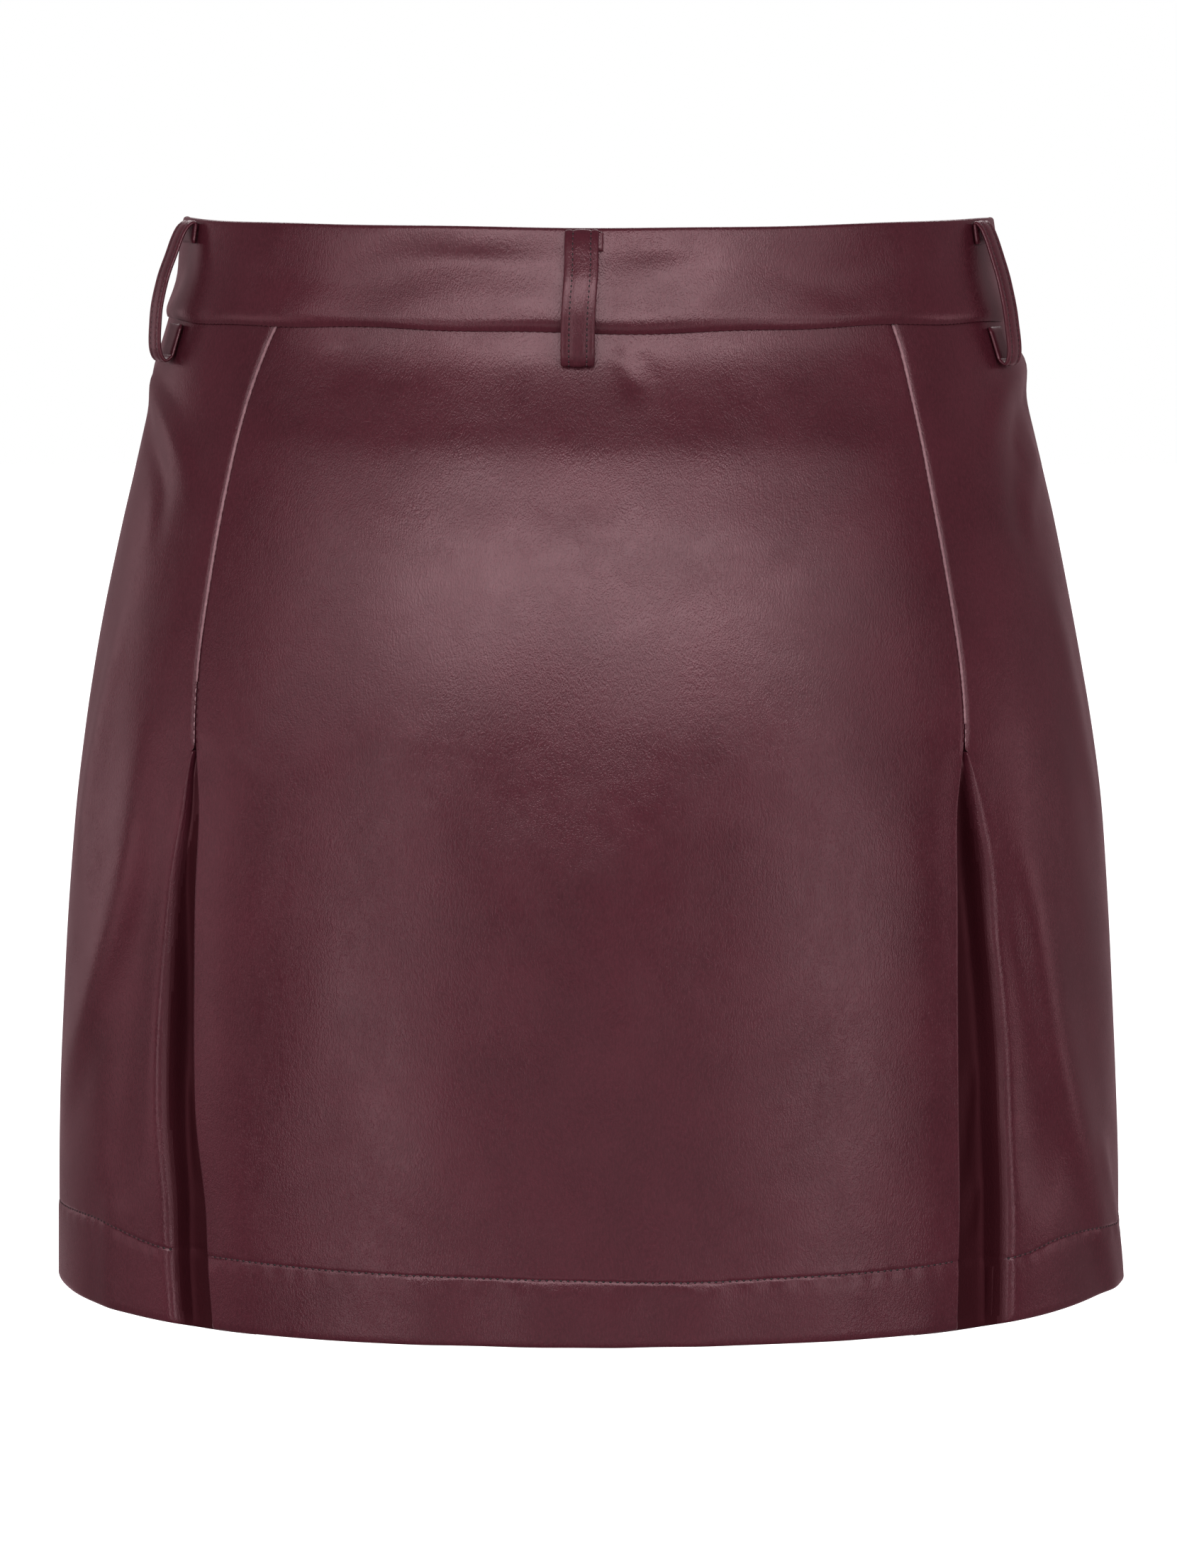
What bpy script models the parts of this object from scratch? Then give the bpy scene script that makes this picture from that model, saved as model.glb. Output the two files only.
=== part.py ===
"""A leather mini skirt, filled out as if it were worn, with no wearer.

The back faces -Y and the wearer's left is -X. The origin is on the wearer's axis, at half the
height of the waistband, where the waist holds the skirt up.
"""
import math
from bisect import bisect_right
from collections import namedtuple

import bmesh
import bpy
from mathutils import Vector

MM = 0.001  # every size below is in millimetres, and every angle in degrees

# Driving dimensions. A drop is a distance below the waist's mean level, and an angle is round
# from centre back, positive towards the wearer's right (+X), so that 180 is the centre front.
BACK_LENGTH = 395.0
BAND_TOP = 0.8              # drop of the waist's edge at centre back
BAND_END = 37.2             # and of the waistband's lower edge
BAND_MIDDLE = (BAND_TOP + BAND_END) / 2
SIDE_RISE = 2.0             # the waistband lies this much higher at the sides
SIDE_POWER = 1.5            # and the higher this is, the closer to the sides it rises
FRONT_DIP = 15.0            # and this much lower in front
DIP_POWER = 1.2             # and the higher this is, the closer to centre front it dips
HEM_RISE = 3.8              # the hem hangs this much higher at the sides
RISE_POWER = 7              # and the higher this is, the closer to the sides it rises
LEATHER = 1.2               # one layer
HEM_DEPTH = 24.0            # turned up inside, and sewn
HEM_WALL = 2.4
SEAM_GAP = 0.3
SIDE_SEAM = 93.0            # angle
PLAN_POWER = 2.1            # of the plan's curve: 2 is an ellipse, and more is squarer
PLEAT_TOP = 186.0           # drop at which the back seams end and the pleats open
TUCK = 2.2                  # the panels reach this far up behind the waistband's lip

# The grids' spacing
ROW_STEP = 21.0
COLUMN_STEP = 20.0
OPENING_STEP = 4.0          # between the last row of closed seam and the first of open pleat
LAYER_STEP = 0.6            # over which the hem's second layer ends
SHARP = 40                  # degrees between faces, from which an edge shows

# The plan at each drop: half the width, and how far the back and the front stand from the axis
Section = namedtuple("Section", "drop half_width back front")
BODY = (
    Section(0, 146.6, 101.0, 96.0),
    Section(20, 149.6, 102.8, 97.5),
    Section(38, 154.2, 104.8, 99.5),
    Section(52, 158.3, 107.3, 101.5),
    Section(67, 161.1, 111.4, 103.6),
    Section(80, 164.2, 115.3, 105.4),
    Section(95, 167.8, 119.2, 107.2),
    Section(110, 171.4, 122.4, 109.0),
    Section(140, 177.8, 127.1, 112.0),
    Section(162, 182.0, 129.7, 113.8),
    Section(183, 185.5, 131.4, 115.2),
    Section(210, 189.1, 132.4, 116.6),
    Section(237, 191.6, 132.7, 117.6),
    Section(263, 193.5, 132.5, 118.4),
    Section(290, 194.9, 132.0, 119.0),
    Section(317, 196.1, 131.4, 119.4),
    Section(351, 197.2, 130.6, 119.8),
    Section(395, 197.5, 130.0, 120.0),
)

# The back seams, and below PLEAT_TOP the folds of the centre panel that carry them on: how far
# each is from the centre plane, and how far its pleat has opened towards the side
Seam = namedtuple("Seam", "drop left left_open right right_open")
BACK_SEAMS = (
    Seam(36, 110.8, 0, 108.2, 0),
    Seam(46, 115.4, 0, 111.6, 0),
    Seam(62, 121.1, 0, 115.2, 0),
    Seam(78, 125.5, 0, 118.6, 0),
    Seam(101, 130.6, 0, 123.2, 0),
    Seam(122, 134.3, 0, 127.1, 0),
    Seam(152, 138.8, 0, 132.0, 0),
    Seam(172, 140.4, 0, 133.9, 0),
    Seam(186, 140.7, 0, 134.0, 0),
    Seam(208, 140.4, 6.2, 132.6, 5.0),
    Seam(240, 142.0, 11.8, 132.9, 8.1),
    Seam(272, 142.6, 14.6, 133.2, 10.0),
    Seam(300, 142.7, 15.5, 133.6, 11.0),
    Seam(322, 142.0, 16.0, 133.9, 11.6),
    Seam(350, 139.0, 17.0, 134.4, 12.8),
    Seam(372, 138.1, 17.3, 134.0, 13.6),
    Seam(395, 136.0, 17.4, 133.4, 14.6),
)

# Below a back seam, the centre panel folds under in half an oval, and its return runs back behind
# it. The side panel rolls inwards in an S, passes behind the fold and meets the return's edge.
TURN_REACH = 1.8            # of the fold, past the flat panel
TURN_DEPTH = 4.2            # from the panel's face to the return's
TURN_STEPS = 4
PLEAT_WIDTH = 16.0          # of the leather behind the centre panel
PLEAT_STEPS = 2
PLEAT_GAP = 0.6             # between the return and the side panel's face
PLEAT_DEPTH = 10.0          # at which the side panel passes the fold, where the pleat is full
PLEAT_FULL = 330.0          # drop
ROLL_WIDTH = 5.0            # the side panel starts to roll in this far from the opening
ROLL_START = 3.0            # and this far from it at the top
ROLL_FULL = 240.0           # drop
ROLL_CLEAR = 0.5            # between the side panel's face and the fold
ROLL_STEPS = 6

# Soft folds that run down the side-back panels
Fold = namedtuple("Fold", "angle_from drop_from angle_to drop_to height width")
FOLDS = (
    Fold(-58.5, 185, -61.5, 245, 2.2, 13),
    Fold(-61.5, 245, -75.0, 312, 2.2, 13),
    Fold(53.0, 205, 57.0, 260, 2.4, 13),
    Fold(57.0, 260, 65.0, 340, 2.4, 13),
    Fold(65.0, 340, 78.0, 400, 2.0, 13),
)
DEGREE = 2.5                # the mean width of a degree of the plan

# The waistband's section, from under its lip, round the outside and over the top. It stands
# this far out from the body's plan, and less than nothing is inside it.
Edge = namedtuple("Edge", "drop out")
BAND_SECTION = (
    Edge(36.6, 0.45), Edge(37.3, 1.1), Edge(36.9, 1.8), Edge(34.8, 2.2), Edge(29.2, 2.1),
    Edge(19.0, 1.8), Edge(9.4, 1.9), Edge(3.6, 1.7), Edge(1.5, 1.2), Edge(0.8, 0.4),
    Edge(1.4, -0.5), Edge(3.2, -1.0), Edge(19.0, -1.0), Edge(34.4, -1.0), Edge(34.4, 0.45),
)
BAND_STEP = 8.0             # angle between its sections

# A belt loop's face, from the end that is turned under at the waist's edge to the other end. A
# loop's slack is its share of this path's distance from the waistband.
LOOP_WIDTH = 12.0
LOOP_WALL = 1.2
LOOP_SEAT = 2.3
LOOP_PATH = (
    Edge(9.5, 2.3), Edge(3.4, 2.3), Edge(2.0, 2.8), Edge(1.5, 4.0), Edge(2.0, 5.4),
    Edge(3.9, 7.4), Edge(7.6, 9.1), Edge(12.4, 10.5), Edge(19.2, 12.2), Edge(25.0, 12.6),
    Edge(31.6, 12.2), Edge(38.0, 10.7), Edge(43.0, 9.1), Edge(47.0, 7.2), Edge(49.8, 5.2),
    Edge(51.2, 3.4), Edge(51.3, 1.9), Edge(50.4, 0.9), Edge(48.8, 0.5), Edge(41.5, 0.4),
)
Loop = namedtuple("Loop", "name top bottom length slack")   # top and bottom are angles
LOOPS = (
    Loop("belt_loop_back", -0.7, -1.2, 49.0, 0.68),
    Loop("belt_loop_side_left", -73.5, -73.5, 52.2, 0.90),
    Loop("belt_loop_side_right", 70.5, 70.5, 53.3, 0.88),
    Loop("belt_loop_front_left", -162.0, -162.0, 50.0, 0.82),
    Loop("belt_loop_front_right", 162.0, 162.0, 50.0, 0.82),
)

# The closure at centre front
ZIP_WIDTH = 26.0
ZIP_WALL = 1.0
ZIP_TOP = 41.0
ZIP_END = 175.0
UNDERLAP_REACH = 34.0       # towards the wearer's right, behind the waistband
UNDERLAP_BACK = 8.0         # towards the left
UNDERLAP_INSET = 4.0        # from each edge of the waistband
UNDERLAP_WALL = 1.6
BUTTON_RADIUS = 8.5
BUTTON_HEIGHT = 3.6
BUTTON_OFF_CENTRE = 15.0
BUTTON_BEVEL = 0.9
BUTTON_SEAT = 2.3           # the waistband's face under it, out from the body's plan

LEATHER_COLOUR = (0.072, 0.026, 0.034, 1.0)
BUTTON_COLOUR = (0.052, 0.018, 0.024, 1.0)
TAPE_COLOUR = (0.030, 0.010, 0.014, 1.0)


def hermite(u, start, end, start_slope, end_slope):
    """The cubic that leaves start and reaches end at the given slopes, as u goes from 0 to 1."""
    return (
        start * (1 + 2 * u) * (1 - u) ** 2
        + end * (3 - 2 * u) * u ** 2
        + start_slope * u * (1 - u) ** 2
        - end_slope * (1 - u) * u ** 2
    )


def read(table, column, drop):
    """A column's value at a drop, on a smooth curve through the table's rows."""
    places = [row.drop for row in table]
    values = [getattr(row, column) for row in table]
    last = len(table) - 1

    def slope(row):
        before, after = max(row - 1, 0), min(row + 1, last)
        return (values[after] - values[before]) / (places[after] - places[before])

    row = min(max(bisect_right(places, drop) - 1, 0), last - 1)
    span = places[row + 1] - places[row]
    u = (drop - places[row]) / span
    return hermite(u, values[row], values[row + 1], span * slope(row), span * slope(row + 1))


def fold_height(angle, drop):
    """How far the soft folds lift the leather here."""
    height = 0.0
    for fold in FOLDS:
        start = Vector((fold.angle_from * DEGREE, fold.drop_from))
        along = Vector((fold.angle_to * DEGREE, fold.drop_to)) - start
        here = Vector((angle * DEGREE, drop)) - start
        reached = min(max(here.dot(along) / along.length_squared, 0.0), 1.0)
        away = (here - along * reached).length
        height = max(height, fold.height * math.exp(-((away / fold.width) ** 2)))
    return height


def frame(angle, drop):
    """The leather's face at an angle and a drop: the point, the way out, and the way round."""
    turn = math.radians(angle)
    sine, cosine = math.sin(turn), math.cos(turn)
    half_width = read(BODY, "half_width", drop)
    reach = read(BODY, "back" if cosine > 0 else "front", drop)
    across = math.copysign(abs(sine) ** (2 / PLAN_POWER), sine)
    along = -math.copysign(abs(cosine) ** (2 / PLAN_POWER), cosine)
    out = Vector((
        math.copysign(abs(across) ** (PLAN_POWER - 1), across) / half_width,
        math.copysign(abs(along) ** (PLAN_POWER - 1), along) / reach,
        0,
    )).normalized()
    waist = SIDE_RISE * abs(sine) ** SIDE_POWER - FRONT_DIP * max(0.0, -cosine) ** DIP_POWER
    hem = HEM_RISE * abs(sine) ** RISE_POWER
    height = BAND_MIDDLE - drop + waist * (1 - smooth(drop, BAND_END, PLEAT_TOP))
    height += hem * smooth(drop, PLEAT_TOP, BACK_LENGTH)
    point = Vector((across * half_width, along * reach, height)) + out * fold_height(angle, drop)
    return point, out, Vector((-out.y, out.x, 0))


def smooth(value, low, high):
    """0 up to low, 1 from high, and an even S between them."""
    u = min(max((value - low) / (high - low), 0.0), 1.0)
    return u * u * (3 - 2 * u)


def surface(angle, drop, depth=0.0):
    """The point a depth inside the leather's face."""
    point, out, _ = frame(angle, drop)
    return point - out * depth


def moved(angle, drop, distance):
    """The angle that is a distance further round, at this drop."""
    degree = (surface(angle + 0.5, drop) - surface(angle - 0.5, drop)).length
    return angle + distance / degree


def angle_at(across, drop):
    """The angle on the back at a distance from the centre plane."""
    share = abs(across) / read(BODY, "half_width", drop)
    return math.copysign(math.degrees(math.asin(share ** (PLAN_POWER / 2))), across)


def back_seam(side, drop):
    """How far a back seam, or the centre panel's fold below it, is from the centre plane,
    and the same for the side panel's edge of the opening. Side is -1 on the left."""
    column = "left" if side < 0 else "right"
    seam = read(BACK_SEAMS, column, drop)
    opened = read(BACK_SEAMS, column + "_open", drop) if drop > PLEAT_TOP else 0.0
    return seam - SEAM_GAP / 2, seam + SEAM_GAP / 2 + opened


def spread(start, end, step):
    """Even places from start to end, no further than a step apart."""
    count = max(1, math.ceil((end - start) / step))
    return [start + (end - start) * i / count for i in range(count + 1)]


def panel_drops():
    """The rows of a panel: closer where the pleat opens and where the hem's layers end."""
    hem = BACK_LENGTH - HEM_DEPTH
    seamed = spread(BAND_END - TUCK, PLEAT_TOP - OPENING_STEP, ROW_STEP)
    pleated = spread(PLEAT_TOP, hem - LAYER_STEP, ROW_STEP)
    return seamed + pleated + spread(hem, BACK_LENGTH, HEM_DEPTH / 2)


def material(name, colour, roughness, metallic=0.0):
    made = bpy.data.materials.new(name)
    made.diffuse_color = colour
    made.use_nodes = True
    shader = made.node_tree.nodes["Principled BSDF"]
    shader.inputs["Base Color"].default_value = colour
    shader.inputs["Roughness"].default_value = roughness
    shader.inputs["Metallic"].default_value = metallic
    return made


def add(name, mesh, finish):
    """An object of the skirt, shaded smooth but for its edges."""
    mesh.materials.append(finish)
    mesh.shade_smooth()
    mesh.set_sharp_from_angle(angle=math.radians(SHARP))
    made = bpy.data.objects.new(name, mesh)
    SKIRT.objects.link(made)
    return made


def sheet(name, rows, finish, wall, doubled=()):
    """A wall inside a grid of points on the leather's face. A missing point leaves its faces
    out, and the doubled places, (row, column), take the hem's wall."""
    grid = bmesh.new()
    layer = grid.verts.layers.deform.verify()
    corners = {}
    for i, row in enumerate(rows):
        for j, point in enumerate(row):
            if point is not None:
                corners[i, j] = grid.verts.new(point * MM)
                corners[i, j][layer][0] = 1.0 if (i, j) in doubled else 0.0
    for i, j in corners:
        square = [(i, j), (i + 1, j), (i + 1, j + 1), (i, j + 1)]
        if all(corner in corners for corner in square):
            grid.faces.new([corners[corner] for corner in square])
    mesh = bpy.data.meshes.new(name)
    grid.to_mesh(mesh)
    grid.free()
    made = add(name, mesh, finish)
    made.vertex_groups.new(name="doubled")
    thick = HEM_WALL if doubled else wall
    wall_maker = made.modifiers.new("wall", "SOLIDIFY")
    wall_maker.thickness = thick * MM
    wall_maker.offset = -1
    wall_maker.use_even_offset = True
    wall_maker.use_quality_normals = True
    if doubled:
        wall_maker.vertex_group = "doubled"
        wall_maker.thickness_vertex_group = wall / thick
    return made


def centre_edge(side, drop):
    """The angle where the centre panel's flat part ends."""
    edge = angle_at(side * back_seam(side, drop)[0], drop)
    return moved(edge, drop, -side * TURN_REACH) if drop >= PLEAT_TOP else edge


def side_edge(side, drop):
    """The angle where a side-back panel's flat part ends."""
    edge = angle_at(side * back_seam(side, drop)[1], drop)
    roll = ROLL_START + (ROLL_WIDTH - ROLL_START) * smooth(drop, PLEAT_TOP, ROLL_FULL)
    return moved(edge, drop, side * roll) if drop >= PLEAT_TOP else edge


def folded_under(side, drop):
    """The points of the centre panel's fold and return, from its flat part."""
    edge = centre_edge(side, drop)
    point, out, way = frame(edge, drop)
    points = []
    for step in range(1, TURN_STEPS + 1):
        swept = math.pi * step / TURN_STEPS
        reach = side * TURN_REACH * math.sin(swept)
        points.append(point + way * reach - out * TURN_DEPTH / 2 * (1 - math.cos(swept)))
    for step in range(1, PLEAT_STEPS + 1):
        back = PLEAT_WIDTH * step / PLEAT_STEPS
        points.append(surface(moved(edge, drop, -side * back), drop, TURN_DEPTH))
    return points


def rolled_in(side, drop):
    """The points of a side-back panel inside its pleat, from its flat part."""
    edge = side_edge(side, drop)
    fold = angle_at(side * back_seam(side, drop)[0], drop)
    inside = moved(fold, drop, side * ROLL_CLEAR)
    shallow = TURN_DEPTH + PLEAT_GAP
    deep = shallow + (PLEAT_DEPTH - shallow) * smooth(drop, PLEAT_TOP, PLEAT_FULL)
    points = []
    for step in range(1, ROLL_STEPS + 1):
        share = step / ROLL_STEPS
        points.append(surface(edge + (inside - edge) * share, drop, deep * smooth(share, 0, 1)))
    for step in range(1, PLEAT_STEPS + 1):
        share = step / PLEAT_STEPS
        depth = deep + (shallow - deep) * share
        points.append(surface(moved(fold, drop, -side * PLEAT_WIDTH * share), drop, depth))
    return points


def panel(name, left, right, left_end=None, right_end=None):
    """A panel between two edges, each a function of the drop that gives an angle. An end, if
    there is one, gives the points that go on past that edge below PLEAT_TOP."""
    drops = panel_drops()
    widest = moved(0, BACK_LENGTH, COLUMN_STEP)
    columns = max(1, math.ceil((right(BACK_LENGTH) - left(BACK_LENGTH)) / widest))
    left_extra = len(left_end(BACK_LENGTH)) if left_end else 0
    right_extra = len(right_end(BACK_LENGTH)) if right_end else 0
    rows = []
    doubled = set()
    for i, drop in enumerate(drops):
        low, high = left(drop), right(drop)
        flat = [surface(low + (high - low) * j / columns, drop) for j in range(columns + 1)]
        before = [None] * left_extra
        after = [None] * right_extra
        if left_end and drop >= PLEAT_TOP:
            before = left_end(drop)[::-1]
        if right_end and drop >= PLEAT_TOP:
            after = right_end(drop)
        rows.append(before + flat + after)
        if drop >= BACK_LENGTH - HEM_DEPTH:
            doubled.update((i, left_extra + j) for j in range(columns + 1))
    sheet(name, rows, LEATHER_FINISH, LEATHER, doubled)


def back_panels():
    panel(
        "back_centre",
        lambda drop: centre_edge(-1, drop),
        lambda drop: centre_edge(1, drop),
        lambda drop: folded_under(-1, drop),
        lambda drop: folded_under(1, drop),
    )
    panel(
        "side_back_left",
        lambda drop: moved(-SIDE_SEAM, drop, SEAM_GAP / 2),
        lambda drop: side_edge(-1, drop),
        right_end=lambda drop: rolled_in(-1, drop),
    )
    panel(
        "side_back_right",
        lambda drop: side_edge(1, drop),
        lambda drop: moved(SIDE_SEAM, drop, -SEAM_GAP / 2),
        left_end=lambda drop: rolled_in(1, drop),
    )


def front_panels():
    panel(
        "front_left",
        lambda drop: moved(-180, drop, SEAM_GAP / 2),
        lambda drop: moved(-SIDE_SEAM, drop, -SEAM_GAP / 2),
    )
    panel(
        "front_right",
        lambda drop: moved(SIDE_SEAM, drop, SEAM_GAP / 2),
        lambda drop: moved(180, drop, -SEAM_GAP / 2),
    )


def loft(name, sections, finish):
    """A closed body through closed sections."""
    body = bmesh.new()
    rings = [[body.verts.new(point * MM) for point in section] for section in sections]
    for ring, following in zip(rings, rings[1:]):
        for i in range(len(ring)):
            after = (i + 1) % len(ring)
            body.faces.new((ring[i], ring[after], following[after], following[i]))
    body.faces.new(rings[0])
    body.faces.new(rings[-1])
    bmesh.ops.recalc_face_normals(body, faces=body.faces)
    mesh = bpy.data.meshes.new(name)
    body.to_mesh(mesh)
    body.free()
    add(name, mesh, finish)


def waistband(name, start, end):
    """The waistband between two angles, less half a seam's gap at each."""
    low = moved(start, BAND_MIDDLE, SEAM_GAP / 2)
    high = moved(end, BAND_MIDDLE, -SEAM_GAP / 2)
    loft(
        name,
        [
            [surface(angle, edge.drop, -edge.out) for edge in BAND_SECTION]
            for angle in spread(low, high, BAND_STEP)
        ],
        LEATHER_FINISH,
    )


def belt_loop(loop):
    """A strip that stands off the waistband, with both its ends turned under."""
    longest = max(edge.drop for edge in LOOP_PATH)
    rows = []
    for edge in LOOP_PATH:
        drop = edge.drop * loop.length / longest
        point, out, way = frame(loop.top + (loop.bottom - loop.top) * edge.drop / longest, drop)
        slack = max(edge.out - LOOP_SEAT, 0) * (loop.slack - 1)
        centre = point + out * (edge.out + slack)
        rows.append([centre - way * LOOP_WIDTH / 2, centre + way * LOOP_WIDTH / 2])
    sheet(loop.name, rows, LEATHER_FINISH, LOOP_WALL)


def strip_inside(name, drops, left, right, depth, wall, finish):
    """A curved strip a depth inside the face, between distances from the centre front, which
    are positive towards the wearer's left."""
    rows = []
    for drop in drops:
        low, high = moved(180, drop, left), moved(180, drop, right)
        rows.append([surface(angle, drop, depth) for angle in spread(low, high, (high - low) / 4)])
    sheet(name, rows, finish, wall)


def closure():
    """The closed zip behind centre front, and the button and underlap of the waistband."""
    strip_inside(
        "fly_zip", spread(ZIP_TOP, ZIP_END, 2 * ROW_STEP), -ZIP_WIDTH / 2, ZIP_WIDTH / 2,
        LEATHER + SEAM_GAP, ZIP_WALL, TAPE_FINISH,
    )
    strip_inside(
        "waistband_underlap", spread(BAND_TOP + UNDERLAP_INSET, BAND_END - UNDERLAP_INSET, ROW_STEP),
        -UNDERLAP_REACH, UNDERLAP_BACK, 1.0 + SEAM_GAP + 0.1, UNDERLAP_WALL, LEATHER_FINISH,
    )
    middle = BAND_MIDDLE
    angle = moved(180, middle, -BUTTON_OFF_CENTRE)
    _, _, way = frame(angle, middle)
    above = surface(angle, middle - BUTTON_RADIUS, -BUTTON_SEAT)
    below = surface(angle, middle + BUTTON_RADIUS, -BUTTON_SEAT)
    out = (below - above).cross(way).normalized()
    centre = (above + below) / 2 + out * (SEAM_GAP + BUTTON_HEIGHT / 2)
    bpy.ops.mesh.primitive_cylinder_add(
        vertices=28,
        radius=BUTTON_RADIUS * MM,
        depth=BUTTON_HEIGHT * MM,
        location=centre * MM,
        rotation=out.to_track_quat("Z", "Y").to_euler(),
    )
    button = bpy.context.object
    button.name = button.data.name = "waist_button"
    button.data.materials.append(BUTTON_FINISH)
    for collection in button.users_collection:
        collection.objects.unlink(button)
    SKIRT.objects.link(button)
    rim = button.modifiers.new("rim", "BEVEL")
    rim.width = BUTTON_BEVEL * MM
    rim.segments = 2


for old in list(bpy.data.objects):
    bpy.data.objects.remove(old, do_unlink=True)

SKIRT = bpy.data.collections.new("leather_skirt")
bpy.context.scene.collection.children.link(SKIRT)
LEATHER_FINISH = material("leather", LEATHER_COLOUR, 0.45)
TAPE_FINISH = material("zip_tape", TAPE_COLOUR, 0.8)
BUTTON_FINISH = material("button", BUTTON_COLOUR, 0.3)

back_panels()
front_panels()
waistband("waistband_back", LOOPS[1].top, LOOPS[2].top)
waistband("waistband_front_left", -180, LOOPS[1].top)
waistband("waistband_front_right", LOOPS[2].top, 180)
for belt in LOOPS:
    belt_loop(belt)
closure()
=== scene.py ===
"""The looks of a leather mini skirt, filled out as if it were worn, with no wearer.

Sizes are in millimetres and angles in degrees, as in the part's own source, whose driving
dimensions and tables of sections are repeated here. A drop is a distance below the waist's
mean level, and an angle is round from centre back, positive towards the wearer's right (+X).
"""
import math
from collections import namedtuple

import bpy
import numpy as np
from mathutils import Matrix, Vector


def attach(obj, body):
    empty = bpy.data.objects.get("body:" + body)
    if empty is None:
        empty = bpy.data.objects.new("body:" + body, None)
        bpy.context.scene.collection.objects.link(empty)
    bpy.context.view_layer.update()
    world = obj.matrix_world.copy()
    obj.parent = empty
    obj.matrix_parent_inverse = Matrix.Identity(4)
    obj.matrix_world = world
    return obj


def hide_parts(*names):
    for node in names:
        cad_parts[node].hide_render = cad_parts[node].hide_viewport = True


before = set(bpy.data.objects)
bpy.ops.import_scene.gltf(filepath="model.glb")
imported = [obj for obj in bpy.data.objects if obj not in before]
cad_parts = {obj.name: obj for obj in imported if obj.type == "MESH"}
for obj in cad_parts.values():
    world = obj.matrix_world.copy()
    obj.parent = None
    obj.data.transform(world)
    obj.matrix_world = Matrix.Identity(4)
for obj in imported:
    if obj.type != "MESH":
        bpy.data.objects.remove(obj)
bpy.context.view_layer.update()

MM = 0.001


def table_of(columns, *rows):
    """A table whose rows have named columns."""
    return tuple(map(namedtuple("Row", columns)._make, rows))


# ---- sizes shared with the solids
BACK_LENGTH = 395.0
BAND_TOP = 0.8
BAND_END = 37.2
BAND_MIDDLE = (BAND_TOP + BAND_END) / 2
SIDE_RISE = 2.0
SIDE_POWER = 1.5
FRONT_DIP = 15.0
DIP_POWER = 1.2
HEM_RISE = 3.8
RISE_POWER = 7
LEATHER = 1.1
SEAM_GAP = 0.3
SIDE_SEAM = 93.0
PLAN_POWER = 2.1
PLEAT_TOP = 186.0
TUCK = 2.2

BODY = table_of(
    "drop half_width back front",
    (0, 146.6, 101.0, 96.0),
    (20, 149.6, 102.8, 97.5),
    (38, 154.2, 104.8, 99.5),
    (52, 158.3, 107.3, 101.5),
    (67, 161.1, 111.4, 103.6),
    (80, 164.2, 115.3, 105.4),
    (95, 167.8, 119.2, 107.2),
    (110, 171.4, 122.4, 109.0),
    (140, 177.8, 127.1, 112.0),
    (162, 182.0, 129.7, 113.8),
    (183, 185.5, 131.4, 115.2),
    (210, 189.1, 132.4, 116.6),
    (237, 191.6, 132.7, 117.6),
    (263, 193.5, 132.5, 118.4),
    (290, 194.9, 132.0, 119.0),
    (317, 196.1, 131.4, 119.4),
    (351, 197.2, 130.6, 119.8),
    (395, 197.5, 130.0, 120.0),
)

BACK_SEAMS = table_of(
    "drop left right",
    (36, 110.8, 108.2),
    (46, 115.4, 111.6),
    (62, 121.1, 115.2),
    (78, 125.5, 118.6),
    (101, 130.6, 123.2),
    (122, 134.3, 127.1),
    (152, 138.8, 132.0),
    (172, 140.4, 133.9),
    (186, 140.7, 134.0),
    (208, 140.4, 132.6),
    (240, 142.0, 132.9),
    (272, 142.6, 133.2),
    (300, 142.7, 133.6),
    (322, 142.0, 133.9),
    (350, 139.0, 134.4),
    (372, 138.1, 134.0),
    (395, 136.0, 133.4),
)

TURN_REACH = 1.8
TURN_DEPTH = 4.2
PLEAT_WIDTH = 16.0
PLEAT_GAP = 0.6
ROLL_CLEAR = 0.5

BAND_SECTION = table_of(
    "drop out",
    (36.6, 0.45), (37.3, 1.0), (36.9, 1.6), (34.8, 2.3), (29.2, 2.3),
    (19.0, 1.8), (9.4, 1.8), (2.8, 1.8), (1.1, 1.5), (0.8, 0.4),
    (1.4, -0.5), (3.2, -1.0), (19.0, -1.0), (34.4, -1.0), (34.4, 0.45),
)
LOOP_SEAT = 2.3
LOOP_PATH = table_of(
    "drop out",
    (9.5, 2.3), (3.4, 2.3), (2.0, 2.8), (1.5, 4.0), (2.0, 5.4),
    (3.9, 7.4), (7.6, 9.1), (12.4, 10.5), (19.2, 12.2), (25.0, 12.6),
    (31.6, 12.2), (38.0, 10.9), (43.0, 9.5), (47.0, 7.9), (49.8, 6.0),
    (51.2, 4.2), (51.3, 2.5), (50.2, 1.2), (48.4, 0.6), (38.4, 0.5),
)
# top and bottom are angles, and a tab is the end turned under at the top, so far aside
LOOPS = table_of(
    "name top bottom length slack tab",
    ("belt_loop_back", -0.7, -1.2, 49.0, 0.62, 1.6),
    ("belt_loop_side_left", -73.5, -73.5, 52.2, 0.88, 0.0),
    ("belt_loop_side_right", 70.5, 70.5, 53.3, 0.72, 0.0),
    ("belt_loop_front_left", -162.0, -162.0, 50.0, 0.76, 0.8),
    ("belt_loop_front_right", 162.0, 162.0, 50.0, 0.76, -0.8),
)
ZIP_WIDTH = 26.0
ZIP_WALL = 1.0
ZIP_TOP = 41.0
ZIP_END = 175.0
UNDERLAP_REACH = 34.0
UNDERLAP_BACK = 8.0
UNDERLAP_WALL = 1.6

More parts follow.
